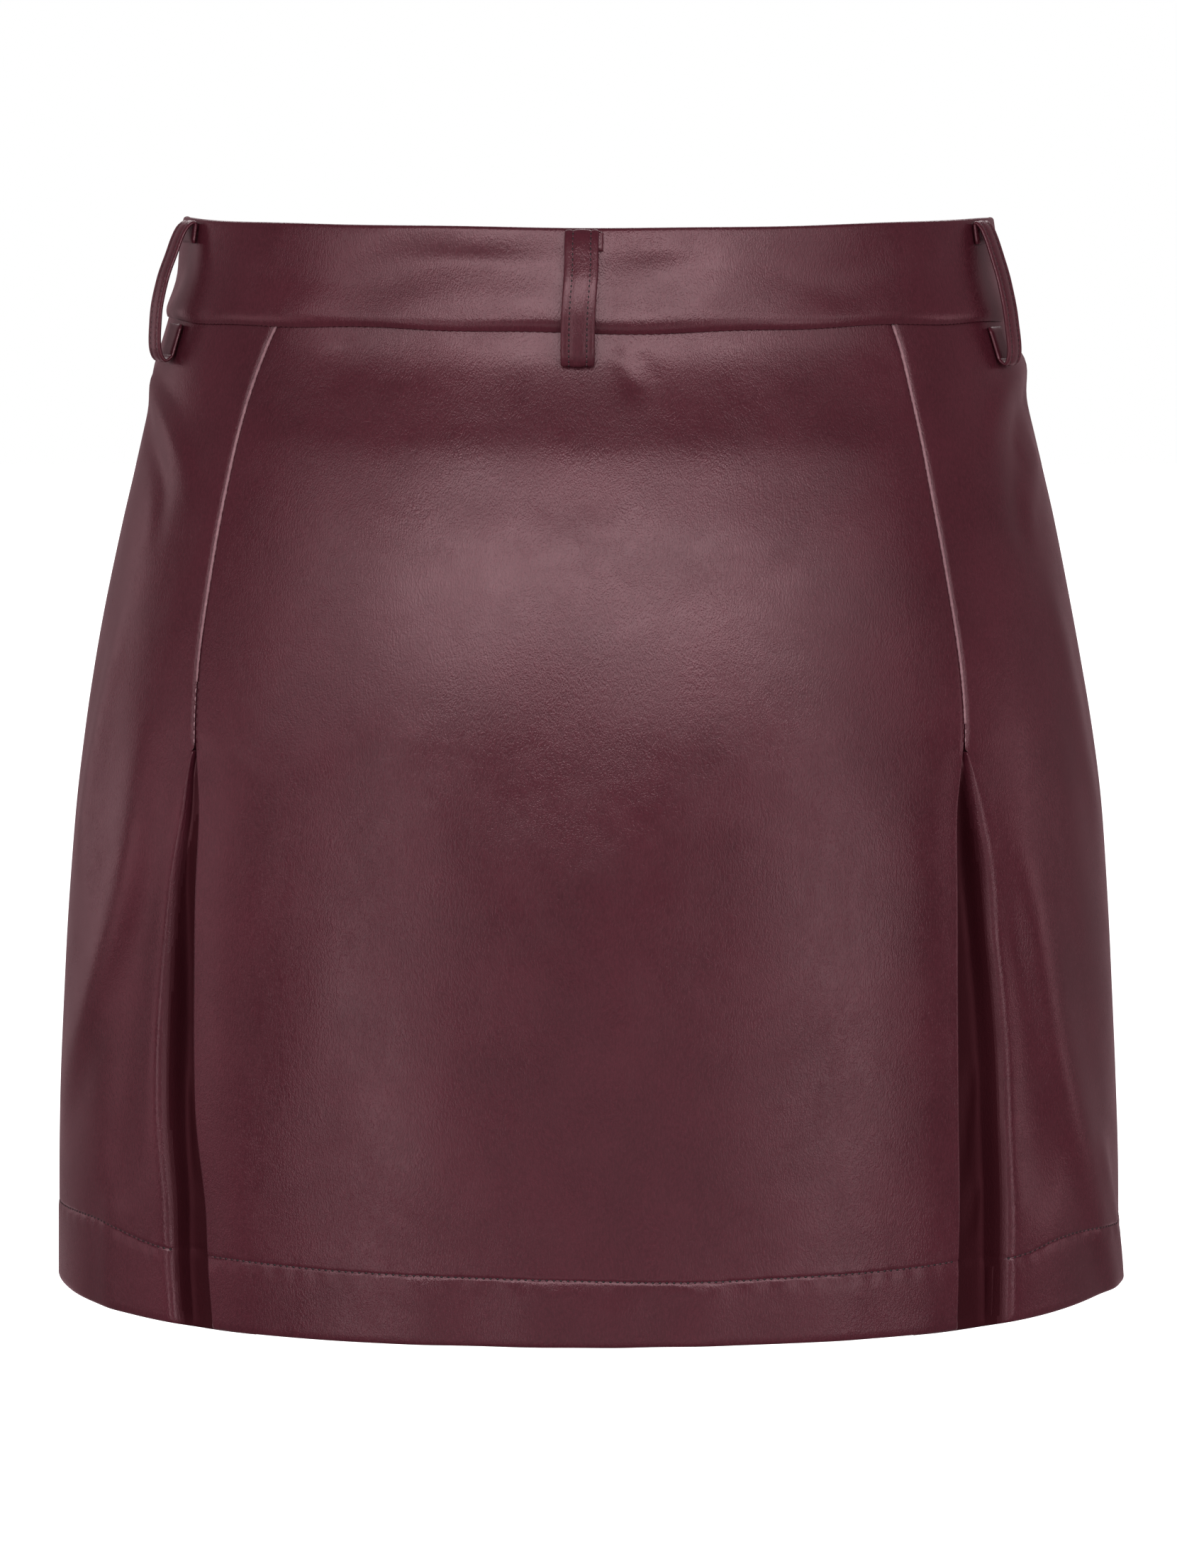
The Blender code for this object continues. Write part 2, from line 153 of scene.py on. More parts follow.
# ---- what only the looks have
ROW_STEP = 2.4
COLUMN_STEP = 2.4
HEM_RADIUS = 1.25           # of the turned-up edge
HEM_ROW = 371.0             # the row of a panel's grid that follows the hem's sewing
SHIFT_REACH = 30.0          # rows this near are bent along with it
TURN_STEPS = 12
RETURN_STEPS = 5

# A side panel's crest beside its pleat, and the place where the wall below it is seen to turn
# dark, both so far outside the centre panel's fold
PLEATS = table_of(
    "drop left_crest left_wall right_crest right_wall",
    (186, 0.5, 0.3, 0.5, 0.3),
    (196, 3.8, 3.0, 5.0, 1.9),
    (210, 6.9, 4.6, 10.0, 4.2),
    (232, 10.8, 6.6, 15.0, 7.2),
    (258, 13.8, 7.4, 17.9, 10.1),
    (275, 15.4, 7.9, 20.2, 11.6),
    (300, 16.8, 8.6, 22.4, 13.3),
    (330, 17.1, 9.8, 23.0, 14.5),
    (360, 17.6, 11.0, 23.3, 15.3),
    (395, 17.8, 11.6, 23.5, 16.1),
)
PLEAT_DEEPEST = 12.0
PLEAT_SHADES = (2.0, 3.2, 4.6)      # depths at which the leather in a pleat takes a darker painted shade
WALL_DEPTH = 1.5            # of a wall, over how far the crest is outside its dark place
WALL_REACH = 0.84           # and its width, over the same
PLEAT_HANG = 0.25           # a pleat's hem hangs this much lower for its depth
HANG_RISE = 60.0            # and starts to at this height above the hem's sewing
CREST_EASE = 6.5            # the panel starts to sink to its crest this far outside it
# From the flat panel inwards to the wall's foot: places off the crest, in eases outside it and
# reaches of the wall inside it, and how deep each is as a share of the pleat's depth
ROLL_PROFILE = table_of(
    "eases reaches depth",
    (1.0, 0, 0), (0.6, 0, 0.004), (0.2, 0, 0.03), (0, 0.10, 0.12),
    (0, 0.30, 0.30), (0, 0.50, 0.53), (0, 0.72, 0.78), (0, 1, 0.94),
)
FLOOR_MIDDLE = 0.55         # a place on the floor, as a share of how far out the wall's foot is
ROLL_CURVE_STEPS = 3
SEWN_ROLL = 4 * ROLL_CURVE_STEPS    # the hem's sewing shows on so many of a roll's columns

# The line of the hem's sewing
HEM_LEFT = table_of(
    "angle drop",
    (-93, 366.5), (-82, 365.5), (-67, 363.2), (-61, 363.8), (-53.6, 366.8),
    (-49.4, 368.0), (-43.8, 369.0),
)
HEM_CENTRE = table_of(
    "angle drop",
    (-48, 368.8), (-39, 368.6), (-27, 369.5), (-3, 370.7), (9, 371.8),
    (19, 371.2), (33, 370.6), (41, 369.8), (45, 369.6),
)
HEM_RIGHT = table_of(
    "angle drop",
    (41, 371.9), (47, 371.7), (52.5, 370.8), (59, 368.1), (67.6, 368.5),
    (80, 371.5), (93, 371.0),
)
HEM_FRONT = table_of("angle drop", (-180, 371), (-120, 370), (-93, 368), (93, 370), (180, 371))

# Soft folds. A fold's path is a list of (angle, drop). Its fades are the shares of its length
# over which it rises at its start and dies away at its end, and lean makes one side steeper.
FOLDS = table_of(
    "height width lean fades path",
    # left side-back panel
    (2.5, 11, 0.25, (0.3, 0.3), ((-59, 160), (-58.7, 215), (-61, 246), (-66, 272),
                                 (-71.5, 297), (-77, 318), (-84, 342))),
    (-1.5, 10, 0, (0.3, 0.2), ((-54, 215), (-56, 260), (-58, 310), (-60, 360))),
    (1.0, 9, 0, (0.3, 0.3), ((-70, 130), (-74, 190), (-78, 250))),
    (1.6, 6, 0.3, (0.1, 0.4), ((-87, 58), (-72.2, 70), (-64.7, 79), (-58.6, 92), (-56, 115))),
    (-1.1, 6, 0, (0.2, 0.4), ((-84, 72), (-72, 84), (-65, 98), (-63, 125))),
    (0.8, 2.2, 0, (0.3, 0.3), ((-49.4, 300), (-47.6, 325), (-46.6, 347))),
    (0.7, 7, 0, (0.3, 0), ((-60, 345), (-61, 372), (-61, 395))),
    # right side-back panel
    (2.5, 11, -0.25, (0.3, 0), ((51.5, 190), (53.7, 218), (56.3, 255), (59.8, 297),
                                  (63.5, 325), (68.5, 355), (75, 385), (78, 400))),
    (-1.5, 10, 0, (0.3, 0.2), ((48.8, 215), (51, 260), (53, 310), (56.5, 365))),
    (1.3, 7, 0, (0.3, 0), ((69, 330), (76, 362), (83, 395))),
    (1.0, 9, 0, (0.3, 0.3), ((70, 120), (75, 185), (80, 240))),
    (1.6, 6, -0.3, (0.1, 0.4), ((93.9, 53), (80, 56), (70.8, 61), (62.5, 74), (59, 95))),
    (-0.9, 5, 0, (0.2, 0.4), ((86, 66), (74, 73), (66, 88))),
    (1.0, 2.4, 0, (0.3, 0.3), ((47.0, 296), (45.4, 320), (43.8, 347))),
    (0.8, 2.2, 0, (0.3, 0.3), ((47.2, 342), (45.2, 366))),
    (0.8, 7, 0, (0.2, 0.3), ((82, 80), (70, 102), (66, 118))),
    (-0.7, 8, 0, (0.2, 0.3), ((73, 80), (66, 96), (64, 125))),
    # centre-back panel
    (-0.5, 2.6, 0, (0.3, 0.5), ((3.0, 42), (4.0, 50), (6.0, 62))),
    (0.2, 3.0, 0, (0.3, 0.5), ((5.4, 42), (7.0, 50), (9.0, 60))),
    (-0.4, 6, 0, (0.2, 0.5), ((-33, 40), (-30, 62))),
    (0.5, 8, 0, (0.4, 0), ((-17, 366), (-17, 395))),
    (0.45, 7, 0, (0.4, 0), ((-4, 366), (-5, 395))),
    (0.5, 6, 0, (0.4, 0), ((3, 374), (2.4, 395))),
    (0.5, 7, 0, (0.4, 0), ((12, 368), (11, 395))),
    (0.5, 8, 0, (0.4, 0), ((26, 366), (26, 395))),
    (-0.5, 8, 0, (0.4, 0), ((-11, 368), (-11, 395))),
    (-0.5, 7, 0, (0.4, 0), ((7, 372), (6.5, 395))),
    # fronts
    (1.6, 13, 0.2, (0.3, 0), ((-121, 190), (-116, 260), (-112, 330), (-111, 395))),
    (1.8, 12, -0.2, (0.3, 0), ((118, 170), (113, 245), (109, 320), (107, 395))),
    (1.1, 12, 0, (0.3, 0.2), ((150, 200), (146, 280), (144, 350))),
    (0.9, 12, 0, (0.3, 0.2), ((-155, 215), (-152, 290), (-149, 360))),
    (0.8, 9, 0.2, (0.1, 0.4), ((-86, 52), (-98, 78), (-108, 120))),
    (0.9, 9, -0.2, (0.1, 0.4), ((86, 52), (99, 76), (108, 125))),
    (-0.8, 9, 0, (0.2, 0.4), ((172, 178), (160, 196), (150, 225))),
    (-0.7, 9, 0, (0.2, 0.4), ((-172, 180), (-162, 200), (-152, 225))),
)
DEGREE = 2.5                # millimetres, as folds and waves take it

# Level swells of the back below the waistband, whole up to one angle and gone from the other
SWELLS = table_of("height drop width", (-0.5, 45, 11), (0.5, 78, 13))
SWELL_WHOLE = 38
SWELL_GONE = 62

WAVES = 10                  # slow uneven waves all over
WAVE_HEIGHT = 0.05


# ---- the skirt's form
def table_column(table, name):
    return np.array([getattr(row, name) for row in table], float)


def read(table, name, place, key="drop"):
    """A column's values at places along the table, on a smooth curve through its rows."""
    places = table_column(table, key)
    values = table_column(table, name)
    slopes = np.gradient(values)
    slopes[1:-1] = (values[2:] - values[:-2]) / (places[2:] - places[:-2])
    slopes[0] = (values[1] - values[0]) / (places[1] - places[0])
    slopes[-1] = (values[-1] - values[-2]) / (places[-1] - places[-2])
    place = np.clip(place, places[0], places[-1])
    row = np.clip(np.searchsorted(places, place, side="right") - 1, 0, len(places) - 2)
    span = places[row + 1] - places[row]
    u = (place - places[row]) / span
    return (
        values[row] * (1 + 2 * u) * (1 - u) ** 2
        + values[row + 1] * (3 - 2 * u) * u ** 2
        + span * slopes[row] * u * (1 - u) ** 2
        - span * slopes[row + 1] * (1 - u) * u ** 2
    )


def smooth(value, low, high):
    """0 up to low, 1 from high, and an even S between them."""
    u = np.clip((value - low) / (high - low), 0.0, 1.0)
    return u * u * (3 - 2 * u)


def bell(away, width):
    return np.exp(-((away / width) ** 2))


def unit(vectors):
    return vectors / np.linalg.norm(vectors, axis=-1, keepdims=True)


def curve(points, steps):
    """A smooth curve through points, as rows of coordinates, with steps between each two."""
    points = np.array(points, float)
    padded = np.vstack([2 * points[0] - points[1], points, 2 * points[-1] - points[-2]])
    made = []
    for i in range(1, len(padded) - 2):
        before, start, end, after = padded[i - 1:i + 3]
        for u in np.arange(steps) / steps:
            made.append(0.5 * (
                2 * start
                + (end - before) * u
                + (2 * before - 5 * start + 4 * end - after) * u ** 2
                + (3 * start - before - 3 * end + after) * u ** 3
            ))
    made.append(points[-1])
    return np.array(made)


def fold_height(angle, drop, fold):
    """How far one fold lifts the leather at each place."""
    path = curve(fold.path, 3) * (DEGREE, 1)
    steps = np.diff(path, axis=0)
    lengths = np.hypot(*steps.T)
    total = lengths.sum()
    x, y = angle * DEGREE, drop
    nearest = np.full(np.shape(x), np.inf)
    reached = np.zeros(np.shape(x))
    side = np.zeros(np.shape(x))
    passed = 0.0
    for start, step, length in zip(path, steps, lengths):
        dx, dy = x - start[0], y - start[1]
        u = np.clip((dx * step[0] + dy * step[1]) / length ** 2, 0, 1)
        away = (dx - u * step[0]) ** 2 + (dy - u * step[1]) ** 2
        near = away < nearest
        nearest = np.where(near, away, nearest)
        reached = np.where(near, (passed + u * length) / total, reached)
        side = np.where(near, (step[0] * dy - step[1] * dx) / length, side)
        passed += length
    width = fold.width * (1 + fold.lean * np.tanh(side / fold.width))
    rise, fall = fold.fades
    strength = smooth(reached, 0, rise) if rise else 1.0
    if fall:
        strength = strength * (1 - smooth(reached, 1 - fall, 1))
    return fold.height * strength * bell(np.sqrt(nearest), width)


CHANCE = np.random.default_rng(5)
WAVE_TABLE = [
    (
        CHANCE.uniform(0.7, 1.3) * WAVE_HEIGHT,
        2 * math.pi / CHANCE.uniform(35, 110),
        2 * math.pi / CHANCE.uniform(90, 300) * CHANCE.choice([-1, 1]),
        CHANCE.uniform(0, 2 * math.pi),
    )
    for _ in range(WAVES)
]


def relief(angle, drop):
    """How far the folds and the slow waves lift the leather."""
    height = np.zeros(np.broadcast(angle, drop).shape)
    for fold in FOLDS:
        height = height + fold_height(angle, drop, fold)
    within = smooth(-np.abs(angle), -SWELL_GONE, -SWELL_WHOLE)
    for lifted, at, width in SWELLS:
        height = height + lifted * bell(drop - at, width) * within
    for size, across, down, start in WAVE_TABLE:
        height = height + size * np.sin(across * angle * DEGREE + down * drop + start)
    return height


def plan(angle, drop):
    """The skirt's form at each angle and drop: the point, the way out, and the way round."""
    angle, drop = np.broadcast_arrays(np.asarray(angle, float), np.asarray(drop, float))
    turn = np.radians(angle)
    sine, cosine = np.sin(turn), np.cos(turn)
    half_width = read(BODY, "half_width", drop)
    reach = np.where(cosine > 0, read(BODY, "back", drop), read(BODY, "front", drop))
    across = np.sign(sine) * np.abs(sine) ** (2 / PLAN_POWER)
    along = -np.sign(cosine) * np.abs(cosine) ** (2 / PLAN_POWER)
    out = unit(np.stack([
        np.sign(across) * np.abs(across) ** (PLAN_POWER - 1) / half_width,
        np.sign(along) * np.abs(along) ** (PLAN_POWER - 1) / reach,
        np.zeros_like(turn),
    ], -1))
    waist = SIDE_RISE * np.abs(sine) ** SIDE_POWER
    waist = waist - FRONT_DIP * np.clip(-cosine, 0, 1) ** DIP_POWER
    hem = HEM_RISE * np.abs(sine) ** RISE_POWER
    height = BAND_MIDDLE - drop + waist * (1 - smooth(drop, BAND_END, PLEAT_TOP))
    height = height + hem * smooth(drop, PLEAT_TOP, BACK_LENGTH)
    point = np.stack([across * half_width, along * reach, height], -1)
    way = np.stack([-out[..., 1], out[..., 0], np.zeros_like(turn)], -1)
    return point, out, way


def surface(angle, drop, lift=0.0):
    """Points that stand a lift out from the leather's face."""
    point, out, _ = plan(angle, drop)
    return point + out * (relief(angle, drop) + lift)[..., None]


def degree_at(angle, drop):
    """The width of a degree of the plan."""
    ahead, _, _ = plan(angle + 0.5, drop)
    behind, _, _ = plan(angle - 0.5, drop)
    return np.linalg.norm(ahead - behind, axis=-1)


def moved(angle, drop, distance):
    return angle + distance / degree_at(angle, drop)


def angle_at(across, drop):
    share = np.abs(across) / read(BODY, "half_width", drop)
    return np.sign(across) * np.degrees(np.arcsin(share ** (PLAN_POWER / 2)))


def side_name(side):
    return "left" if side < 0 else "right"


def back_seam(side, drop, aside=0.0):
    """The angle of a place so far outside a back seam, or the pleat's fold below it."""
    return side * angle_at(read(BACK_SEAMS, side_name(side), drop) + aside, drop)


# ---- meshes
def placed(name, data):
    """A new object in the scene."""
    made = bpy.data.objects.new(name, data)
    bpy.context.scene.collection.objects.link(made)
    return made


def new_object(name, mesh, finish, *replaced, slot="leather"):
    """A piece of the skirt that stands for CAD nodes, or is sewn on."""
    mesh.materials.append(finish)
    mesh.shade_smooth()
    for face in mesh.polygons:
        face.use_smooth = len(face.vertices) == 4
    made = placed(name, mesh)
    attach(made, "root")
    if replaced:
        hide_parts(*replaced)
    return made


def grid_faces(number, wrap):
    """The squares between numbered points. Where it wraps, the grid is a tube that closes on
    itself the second way round, and its two ends are closed."""
    round_again = np.concatenate([number, number[:, :1]], axis=1) if wrap else number
    squares = np.stack([
        round_again[:-1, :-1], round_again[1:, :-1], round_again[1:, 1:], round_again[:-1, 1:]
    ], -1).reshape(-1, 4)
    faces = squares[(squares >= 0).all(axis=1)].tolist()
    if wrap:
        faces += [number[0].tolist(), number[-1][::-1].tolist()]
    return faces


def grid_mesh(name, points, wrap=False):
    """A mesh through a grid of points. A point that is nan leaves its faces out."""
    there = ~np.isnan(points[..., 0])
    number = np.full(there.shape, -1)
    number[there] = np.arange(there.sum())
    mesh = bpy.data.meshes.new(name)
    mesh.from_pydata((points[there] * MM).tolist(), [], grid_faces(number, wrap))
    return mesh


def thicken(piece, wall):
    wall_maker = piece.modifiers.new("wall", "SOLIDIFY")
    wall_maker.thickness = wall * MM
    wall_maker.offset = -1
    wall_maker.use_even_offset = True
    wall_maker.thickness_clamp = 1.0
    return piece


# ---- panels
EDGE_PLACES = np.array([0, 0.3, 0.6, 0.95, 1.35, 1.9, 2.7, 4.0, 6.0])
SEAM_DEPTH = 0.55           # a seam sinks this deep
SEAM_WIDTH = 1.1
SEAM_LAP = 0.06             # sewn panels run this far past their seam, so it lets no light in
FOLD_FALL = 0.9             # the centre panel falls away this far towards its pleat folds
FOLD_WIDTH = 8.0
GROOVE_DEPTH = 0.26         # of the sewing
GROOVE_WIDTH = 0.5
HEM_SWELL = 0.28            # the doubled leather stands this much prouder
PUCKER = 0.16
SWELL_FROM = 0.2            # below the hem's sewing
SWELL_TO = 4.0
PUCKER_DROP = 1.6
PUCKER_HEIGHT = 2.4
PLEAT_EASE = 30.0           # over which a pleat's folds grow to their full size
CREST_GROWTH = 26.0         # and over which its crest does
FAR = 1e3                   # from a panel's edge, on what has none
# The hem's turn under: how far down and how deep each of its rows is
HEM_TURN = [
    (BACK_LENGTH - HEM_RADIUS * (1 - math.sin(swept)), HEM_RADIUS * (1 - math.cos(swept)))
    for swept in np.linspace(0, math.pi, 7)[1:]
]
TURN_SHOWN = 3              # of them, that a pleat's fold follows
ROWS_PAST_SEWING = 4        # that the turned-up layer runs on for, behind the face
Grid = namedtuple("Grid", "angle from_low from_high depth shown")


def panel_rows():
    """The drops of a panel's rows: closer under the waistband, where the pleat opens, along the
    hem's sewing and at its edge."""
    under_band = np.arange(BAND_END - TUCK, 50, 1.3)
    middle = np.arange(50, PLEAT_TOP - 10, ROW_STEP)
    opening = np.arange(PLEAT_TOP - 10, PLEAT_TOP + 24, 1.2)
    lower = np.arange(PLEAT_TOP + 24, HEM_ROW - 5, ROW_STEP)
    sewing = HEM_ROW + np.array([-4.5, -2.8, -1.6, -0.9, -0.5, -0.2, 0, 0.2, 0.5, 0.9, 1.6, 2.8])
    hem = np.arange(HEM_ROW + 4.5, BACK_LENGTH - HEM_RADIUS - 1, 1.8)
    rows = np.concatenate([under_band, middle, opening, lower, sewing, hem])
    return np.append(rows, BACK_LENGTH - HEM_RADIUS)


def growth(drop, first=0.12):
    """The share of its full size that a pleat's fold has reached."""
    return first + (1 - first) * smooth(drop, PLEAT_TOP - 4, PLEAT_TOP + PLEAT_EASE)


def turn_depth(drop):
    """How far the centre panel's return lies behind its face."""
    return TURN_DEPTH * growth(drop, 0.45)


def crest_ease(drop):
    return CREST_EASE * (0.1 + 0.9 * smooth(drop, PLEAT_TOP, PLEAT_TOP + CREST_GROWTH))


def roll_edge(side, drop):
    """The angle at which a side panel starts to roll in to its pleat."""
    crest = read(PLEATS, side_name(side) + "_crest", drop)
    fold = back_seam(side, drop, -SEAM_GAP / 2)
    return moved(fold, drop, side * (crest + crest_ease(drop)))


def edge_lift(kind, away, drop):
    """How a panel sinks towards its edge, a distance away. A kind is side, roll or fold."""
    if kind == "side":
        return -SEAM_DEPTH * bell(away, SEAM_WIDTH)
    closed = 1 - smooth(drop, PLEAT_TOP - 6, PLEAT_TOP + 4)
    lift = -SEAM_DEPTH * closed * bell(away, SEAM_WIDTH)
    if kind == "fold":
        lift = lift - FOLD_FALL * (1 - closed) * bell(away, FOLD_WIDTH)
    return lift


def hem_swell(below):
    return HEM_SWELL * smooth(below, SWELL_FROM, SWELL_TO)


def sewn_lift(angle, drop, line):
    """The hem's groove, swell and small puckers round its line of sewing."""
    below = drop - line
    pucker = np.sin(angle * 0.83 * DEGREE + 1.7 * np.sin(angle * 0.21))
    return (
        -GROOVE_DEPTH * bell(below, GROOVE_WIDTH)
        + hem_swell(below)
        + PUCKER * pucker * bell(below - PUCKER_DROP, PUCKER_HEIGHT)
    )


def panel_grid(low, high, drop):
    """The flat part of a panel between the angles of its two edges in each row: its columns'
    angles, and how far each is from the two edges."""
    widest = (high - low)[-1] * degree_at((low[-1] + high[-1]) / 2, drop[-1])
    columns = max(4, math.ceil(widest / COLUMN_STEP))
    low_degree, high_degree = degree_at(low, drop), degree_at(high, drop)
    first = low[:, None] + EDGE_PLACES / low_degree[:, None]
    last = high[:, None] - EDGE_PLACES[::-1] / high_degree[:, None]
    share = np.linspace(0, 1, columns + 1)[1:-1]
    between = first[:, -1:] + (last[:, :1] - first[:, -1:]) * share
    angle = np.concatenate([first, between, last], axis=1)
    from_low = (angle - low[:, None]) * low_degree[:, None]
    from_high = (high[:, None] - angle) * high_degree[:, None]
    return Grid(angle, from_low, from_high, np.zeros_like(angle), np.ones(angle.shape, bool))


def folded_under(angle, drop, side, lift):
    """The points of the centre panel's fold and return, from its flat part."""
    point, out, way = plan(angle, drop)
    point = point + out * (relief(angle, drop) + lift)[:, None]
    reach, depth = TURN_REACH * growth(drop), turn_depth(drop)
    made = []
    for swept in np.linspace(0, math.pi, TURN_STEPS + 1)[1:]:
        across = side * reach * math.sin(swept)
        sunk = depth / 2 * (1 - math.cos(swept))
        made.append(point + way * across[:, None] - out * sunk[:, None])
    for back in np.linspace(0, PLEAT_WIDTH, RETURN_STEPS + 1)[1:]:
        made.append(surface(moved(angle, drop, -side * back), drop, lift - depth))
    return np.stack(made, axis=1)


def rolled_in(side, drop):
    """The angles of a side panel's columns inside its pleat, from its flat part inwards, and
    how deep the leather lies at each: over a crest, down a wall and along the pleat's floor."""
    fold, ease = back_seam(side, drop, -SEAM_GAP / 2), crest_ease(drop)
    crest = read(PLEATS, side_name(side) + "_crest", drop)
    wall = crest - read(PLEATS, side_name(side) + "_wall", drop)
    shallow = turn_depth(drop) + PLEAT_GAP
    deep = np.clip(WALL_DEPTH * wall, shallow, PLEAT_DEEPEST)
    reach = WALL_REACH * wall
    profile = [
        (crest + eases * ease - reaches * reach, share * deep)
        for eases, reaches, share in ROLL_PROFILE
    ]
    profile += [((crest - reach) * FLOOR_MIDDLE, deep), (np.full_like(deep, ROLL_CLEAR), deep)]
    path = curve(np.array(profile).reshape(len(profile), -1), ROLL_CURVE_STEPS)[1:]
    aside, depths = path.reshape(len(path), 2, -1).transpose(1, 0, 2)
    angles = [moved(fold, drop, side * place) for place in aside]
    depths = list(depths)
    for share in np.linspace(0, 1, RETURN_STEPS + 1)[1:]:
        angles.append(moved(fold, drop, -side * PLEAT_WIDTH * share))
        depths.append(deep + (shallow - deep) * share)
    return np.stack(angles, axis=1), np.stack(depths, axis=1)


def beside(end, extra, grid):
    """A grid with more columns at one end: -1 for the low end, where they run backwards."""
    if end < 0:
        return np.concatenate([extra[:, ::-1], grid], axis=1)
    return np.concatenate([grid, extra], axis=1)


def with_roll(grid, end, rows):
    """A side panel's grid with the columns that roll in to its pleat at one end."""
    angle, depth = rolled_in(-end, np.maximum(rows, PLEAT_TOP))
    angle[rows < PLEAT_TOP] = np.nan
    far = np.full(angle.shape, FAR)
    shown = np.broadcast_to(np.arange(angle.shape[1]) < SEWN_ROLL, angle.shape)
    extra = Grid(angle, far, far, depth, shown)
    return Grid(*(beside(end, more, made) for more, made in zip(extra, grid)))


def fold_margin(end, rows, grid, drops, lift, count):
    """The centre panel's fold and return at one end, for a panel of so many rows. It starts
    where the pleat does, and follows the hem's turn."""
    at = 0 if end < 0 else -1
    margin = np.full((count, TURN_STEPS + RETURN_STEPS, 3), np.nan)
    opened = rows >= PLEAT_TOP
    margin[:len(rows)][opened] = folded_under(
        grid.angle[opened, at], drops[opened, at], end, lift[opened, at]
    )
    for step, (drop, sunk) in enumerate(HEM_TURN[:TURN_SHOWN]):
        margin[len(rows) + step] = folded_under(
            grid.angle[-1:, at], np.array([drop]), end, lift[-1:, at] - sunk
        )[0]
    return margin


def shade_pleat(mesh, depths):
    """Gives the faces deeper in a pleat darker leather, painted shade for the pleat's depth."""
    for look in PLEAT_SHADE_LOOKS:
        mesh.materials.append(look)
    for face in mesh.polygons:
        face.material_index = int(np.searchsorted(PLEAT_SHADES, depths[face.vertices].mean()))


def facing(line):
    """The ways out from a line of points that runs round the skirt."""
    return unit(np.cross(np.gradient(line, axis=0), (0, 0, 1)))


def panel(name, low_kind, high_kind, left, right, hem_line):
    """A panel between two edges, each a function of the drop that gives an angle. Below
    PLEAT_TOP a fold turns under and a roll runs on into its pleat. It gives the panel's line of
    sewing."""
    ends = ((-1, low_kind), (1, high_kind))
    rows = panel_rows()
    opened, in_pleat = rows >= PLEAT_TOP, np.maximum(rows, PLEAT_TOP)
    edges = [left(rows), right(rows)]
    for edge, (end, kind) in enumerate(ends):
        if kind == "fold":
            edges[edge] = moved(edges[edge], rows, -end * opened * TURN_REACH * growth(rows))
        if kind == "roll":
            edges[edge] = np.where(opened, roll_edge(-end, in_pleat), edges[edge])
    grid = panel_grid(*edges, rows)
    for end, kind in ends:
        if kind == "roll":
            grid = with_roll(grid, end, rows)

    share = smooth(rows, HEM_ROW - SHIFT_REACH, HEM_ROW)
    share = share * (1 - smooth(rows, HEM_ROW, BACK_LENGTH - HEM_RADIUS))
    line = read(hem_line, "drop", np.nan_to_num(grid.angle), key="angle")
    hang = PLEAT_HANG * grid.depth * smooth(rows, HEM_ROW - HANG_RISE, BACK_LENGTH)[:, None]
    drops = rows[:, None] + (line - HEM_ROW) * share[:, None] + hang
    lift = (
        edge_lift(low_kind, grid.from_low, drops)
        + edge_lift(high_kind, grid.from_high, drops)
        + sewn_lift(grid.angle, drops, line)
        - grid.depth
    )
    flat = surface(grid.angle, drops, lift)
    turned = [surface(grid.angle[-1], drop + hang[-1], lift[-1] - sunk) for drop, sunk in HEM_TURN]
    sewn_row = int(np.argmin(np.abs(rows - HEM_ROW)))
    for row in range(len(rows) - 2, sewn_row - ROWS_PAST_SEWING, -2):
        layer = hem_swell(drops[row] - line[row]) - 2 * HEM_RADIUS
        turned.append(surface(grid.angle[row], drops[row], layer - grid.depth[row]))
    points = np.concatenate([flat, np.stack(turned)])
    last = np.broadcast_to(grid.depth[-1], (len(turned), grid.depth.shape[1]))
    depths = np.concatenate([grid.depth, last])
    for end, kind in ends:
        if kind == "fold":
            margin = fold_margin(end, rows, grid, drops, lift, len(points))
            points = beside(end, margin, points)

    mesh = grid_mesh(name, points)
    piece = new_object(name + "_shell", mesh, LEATHER_LOOK, name)
    # faces deep in its pleat take painted shade
    if "roll" in (low_kind, high_kind):
        shade_pleat(mesh, depths[~np.isnan(points[..., 0])])
    thicken(piece, LEATHER)
    sewn = flat[sewn_row][grid.shown[sewn_row]]
    return sewn, facing(sewn)


# ---- waistband
BAND_ANGLE_STEP = 0.5
BAND_STEPS = 4              # between the rows of its section
LIP_PITCH = 2.6             # of the small puckers along its lower edge
LIP_PUCKER = 0.14
LIP_FALL = 0.5              # the band's face falls away this far towards that edge
BAND_PUFF = 0.3
END_FALL = 0.5              # the band's ends fall away this far
END_WIDTH = 1.2
# Slow waves round the band, each with its length for a radian and its slant down the band
PUFFS = table_of(
    "size length start slant",
    (1.0, 21.0, 0.8, 0), (0.7, 11.5, 2.1, 1 / 19), (0.5, 6.8, 0, 1 / 9),
)
LIP_WANDER = table_of("size length start slant", (0.5, 26.0, 1.0, 0), (0.3, 9.5, 0, 0))
TOP_WANDER = table_of("size length start slant", (0.2, 31.0, 0, 0), (0.1, 12.0, 2.0, 0))
BAND_DENTS = table_of(
    "angle width drop depth lift",
    (-16, 9, 12, 4, -2.0), (-14, 10, 26, 6, 1.4), (9, 6, 8, 4, 1.6),
    (20, 7, 22, 7, 1.5), (33, 5, 24, 9, -1.6), (-37, 8, 20, 8, -1.2),
    (-52, 6, 14, 6, 1.2), (50, 8, 14, 6, 0.8), (120, 9, 20, 7, -1.4),
    (-130, 9, 18, 7, 1.3), (-104, 7, 24, 6, -1.2), (104, 7, 22, 6, 1.2),
)
PINCH = 1.6                 # the band is pulled in this far in front of the side loops
PINCH_WIDTH = 9.0
PINCH_ANGLE = 85
PINCH_DROP = 25


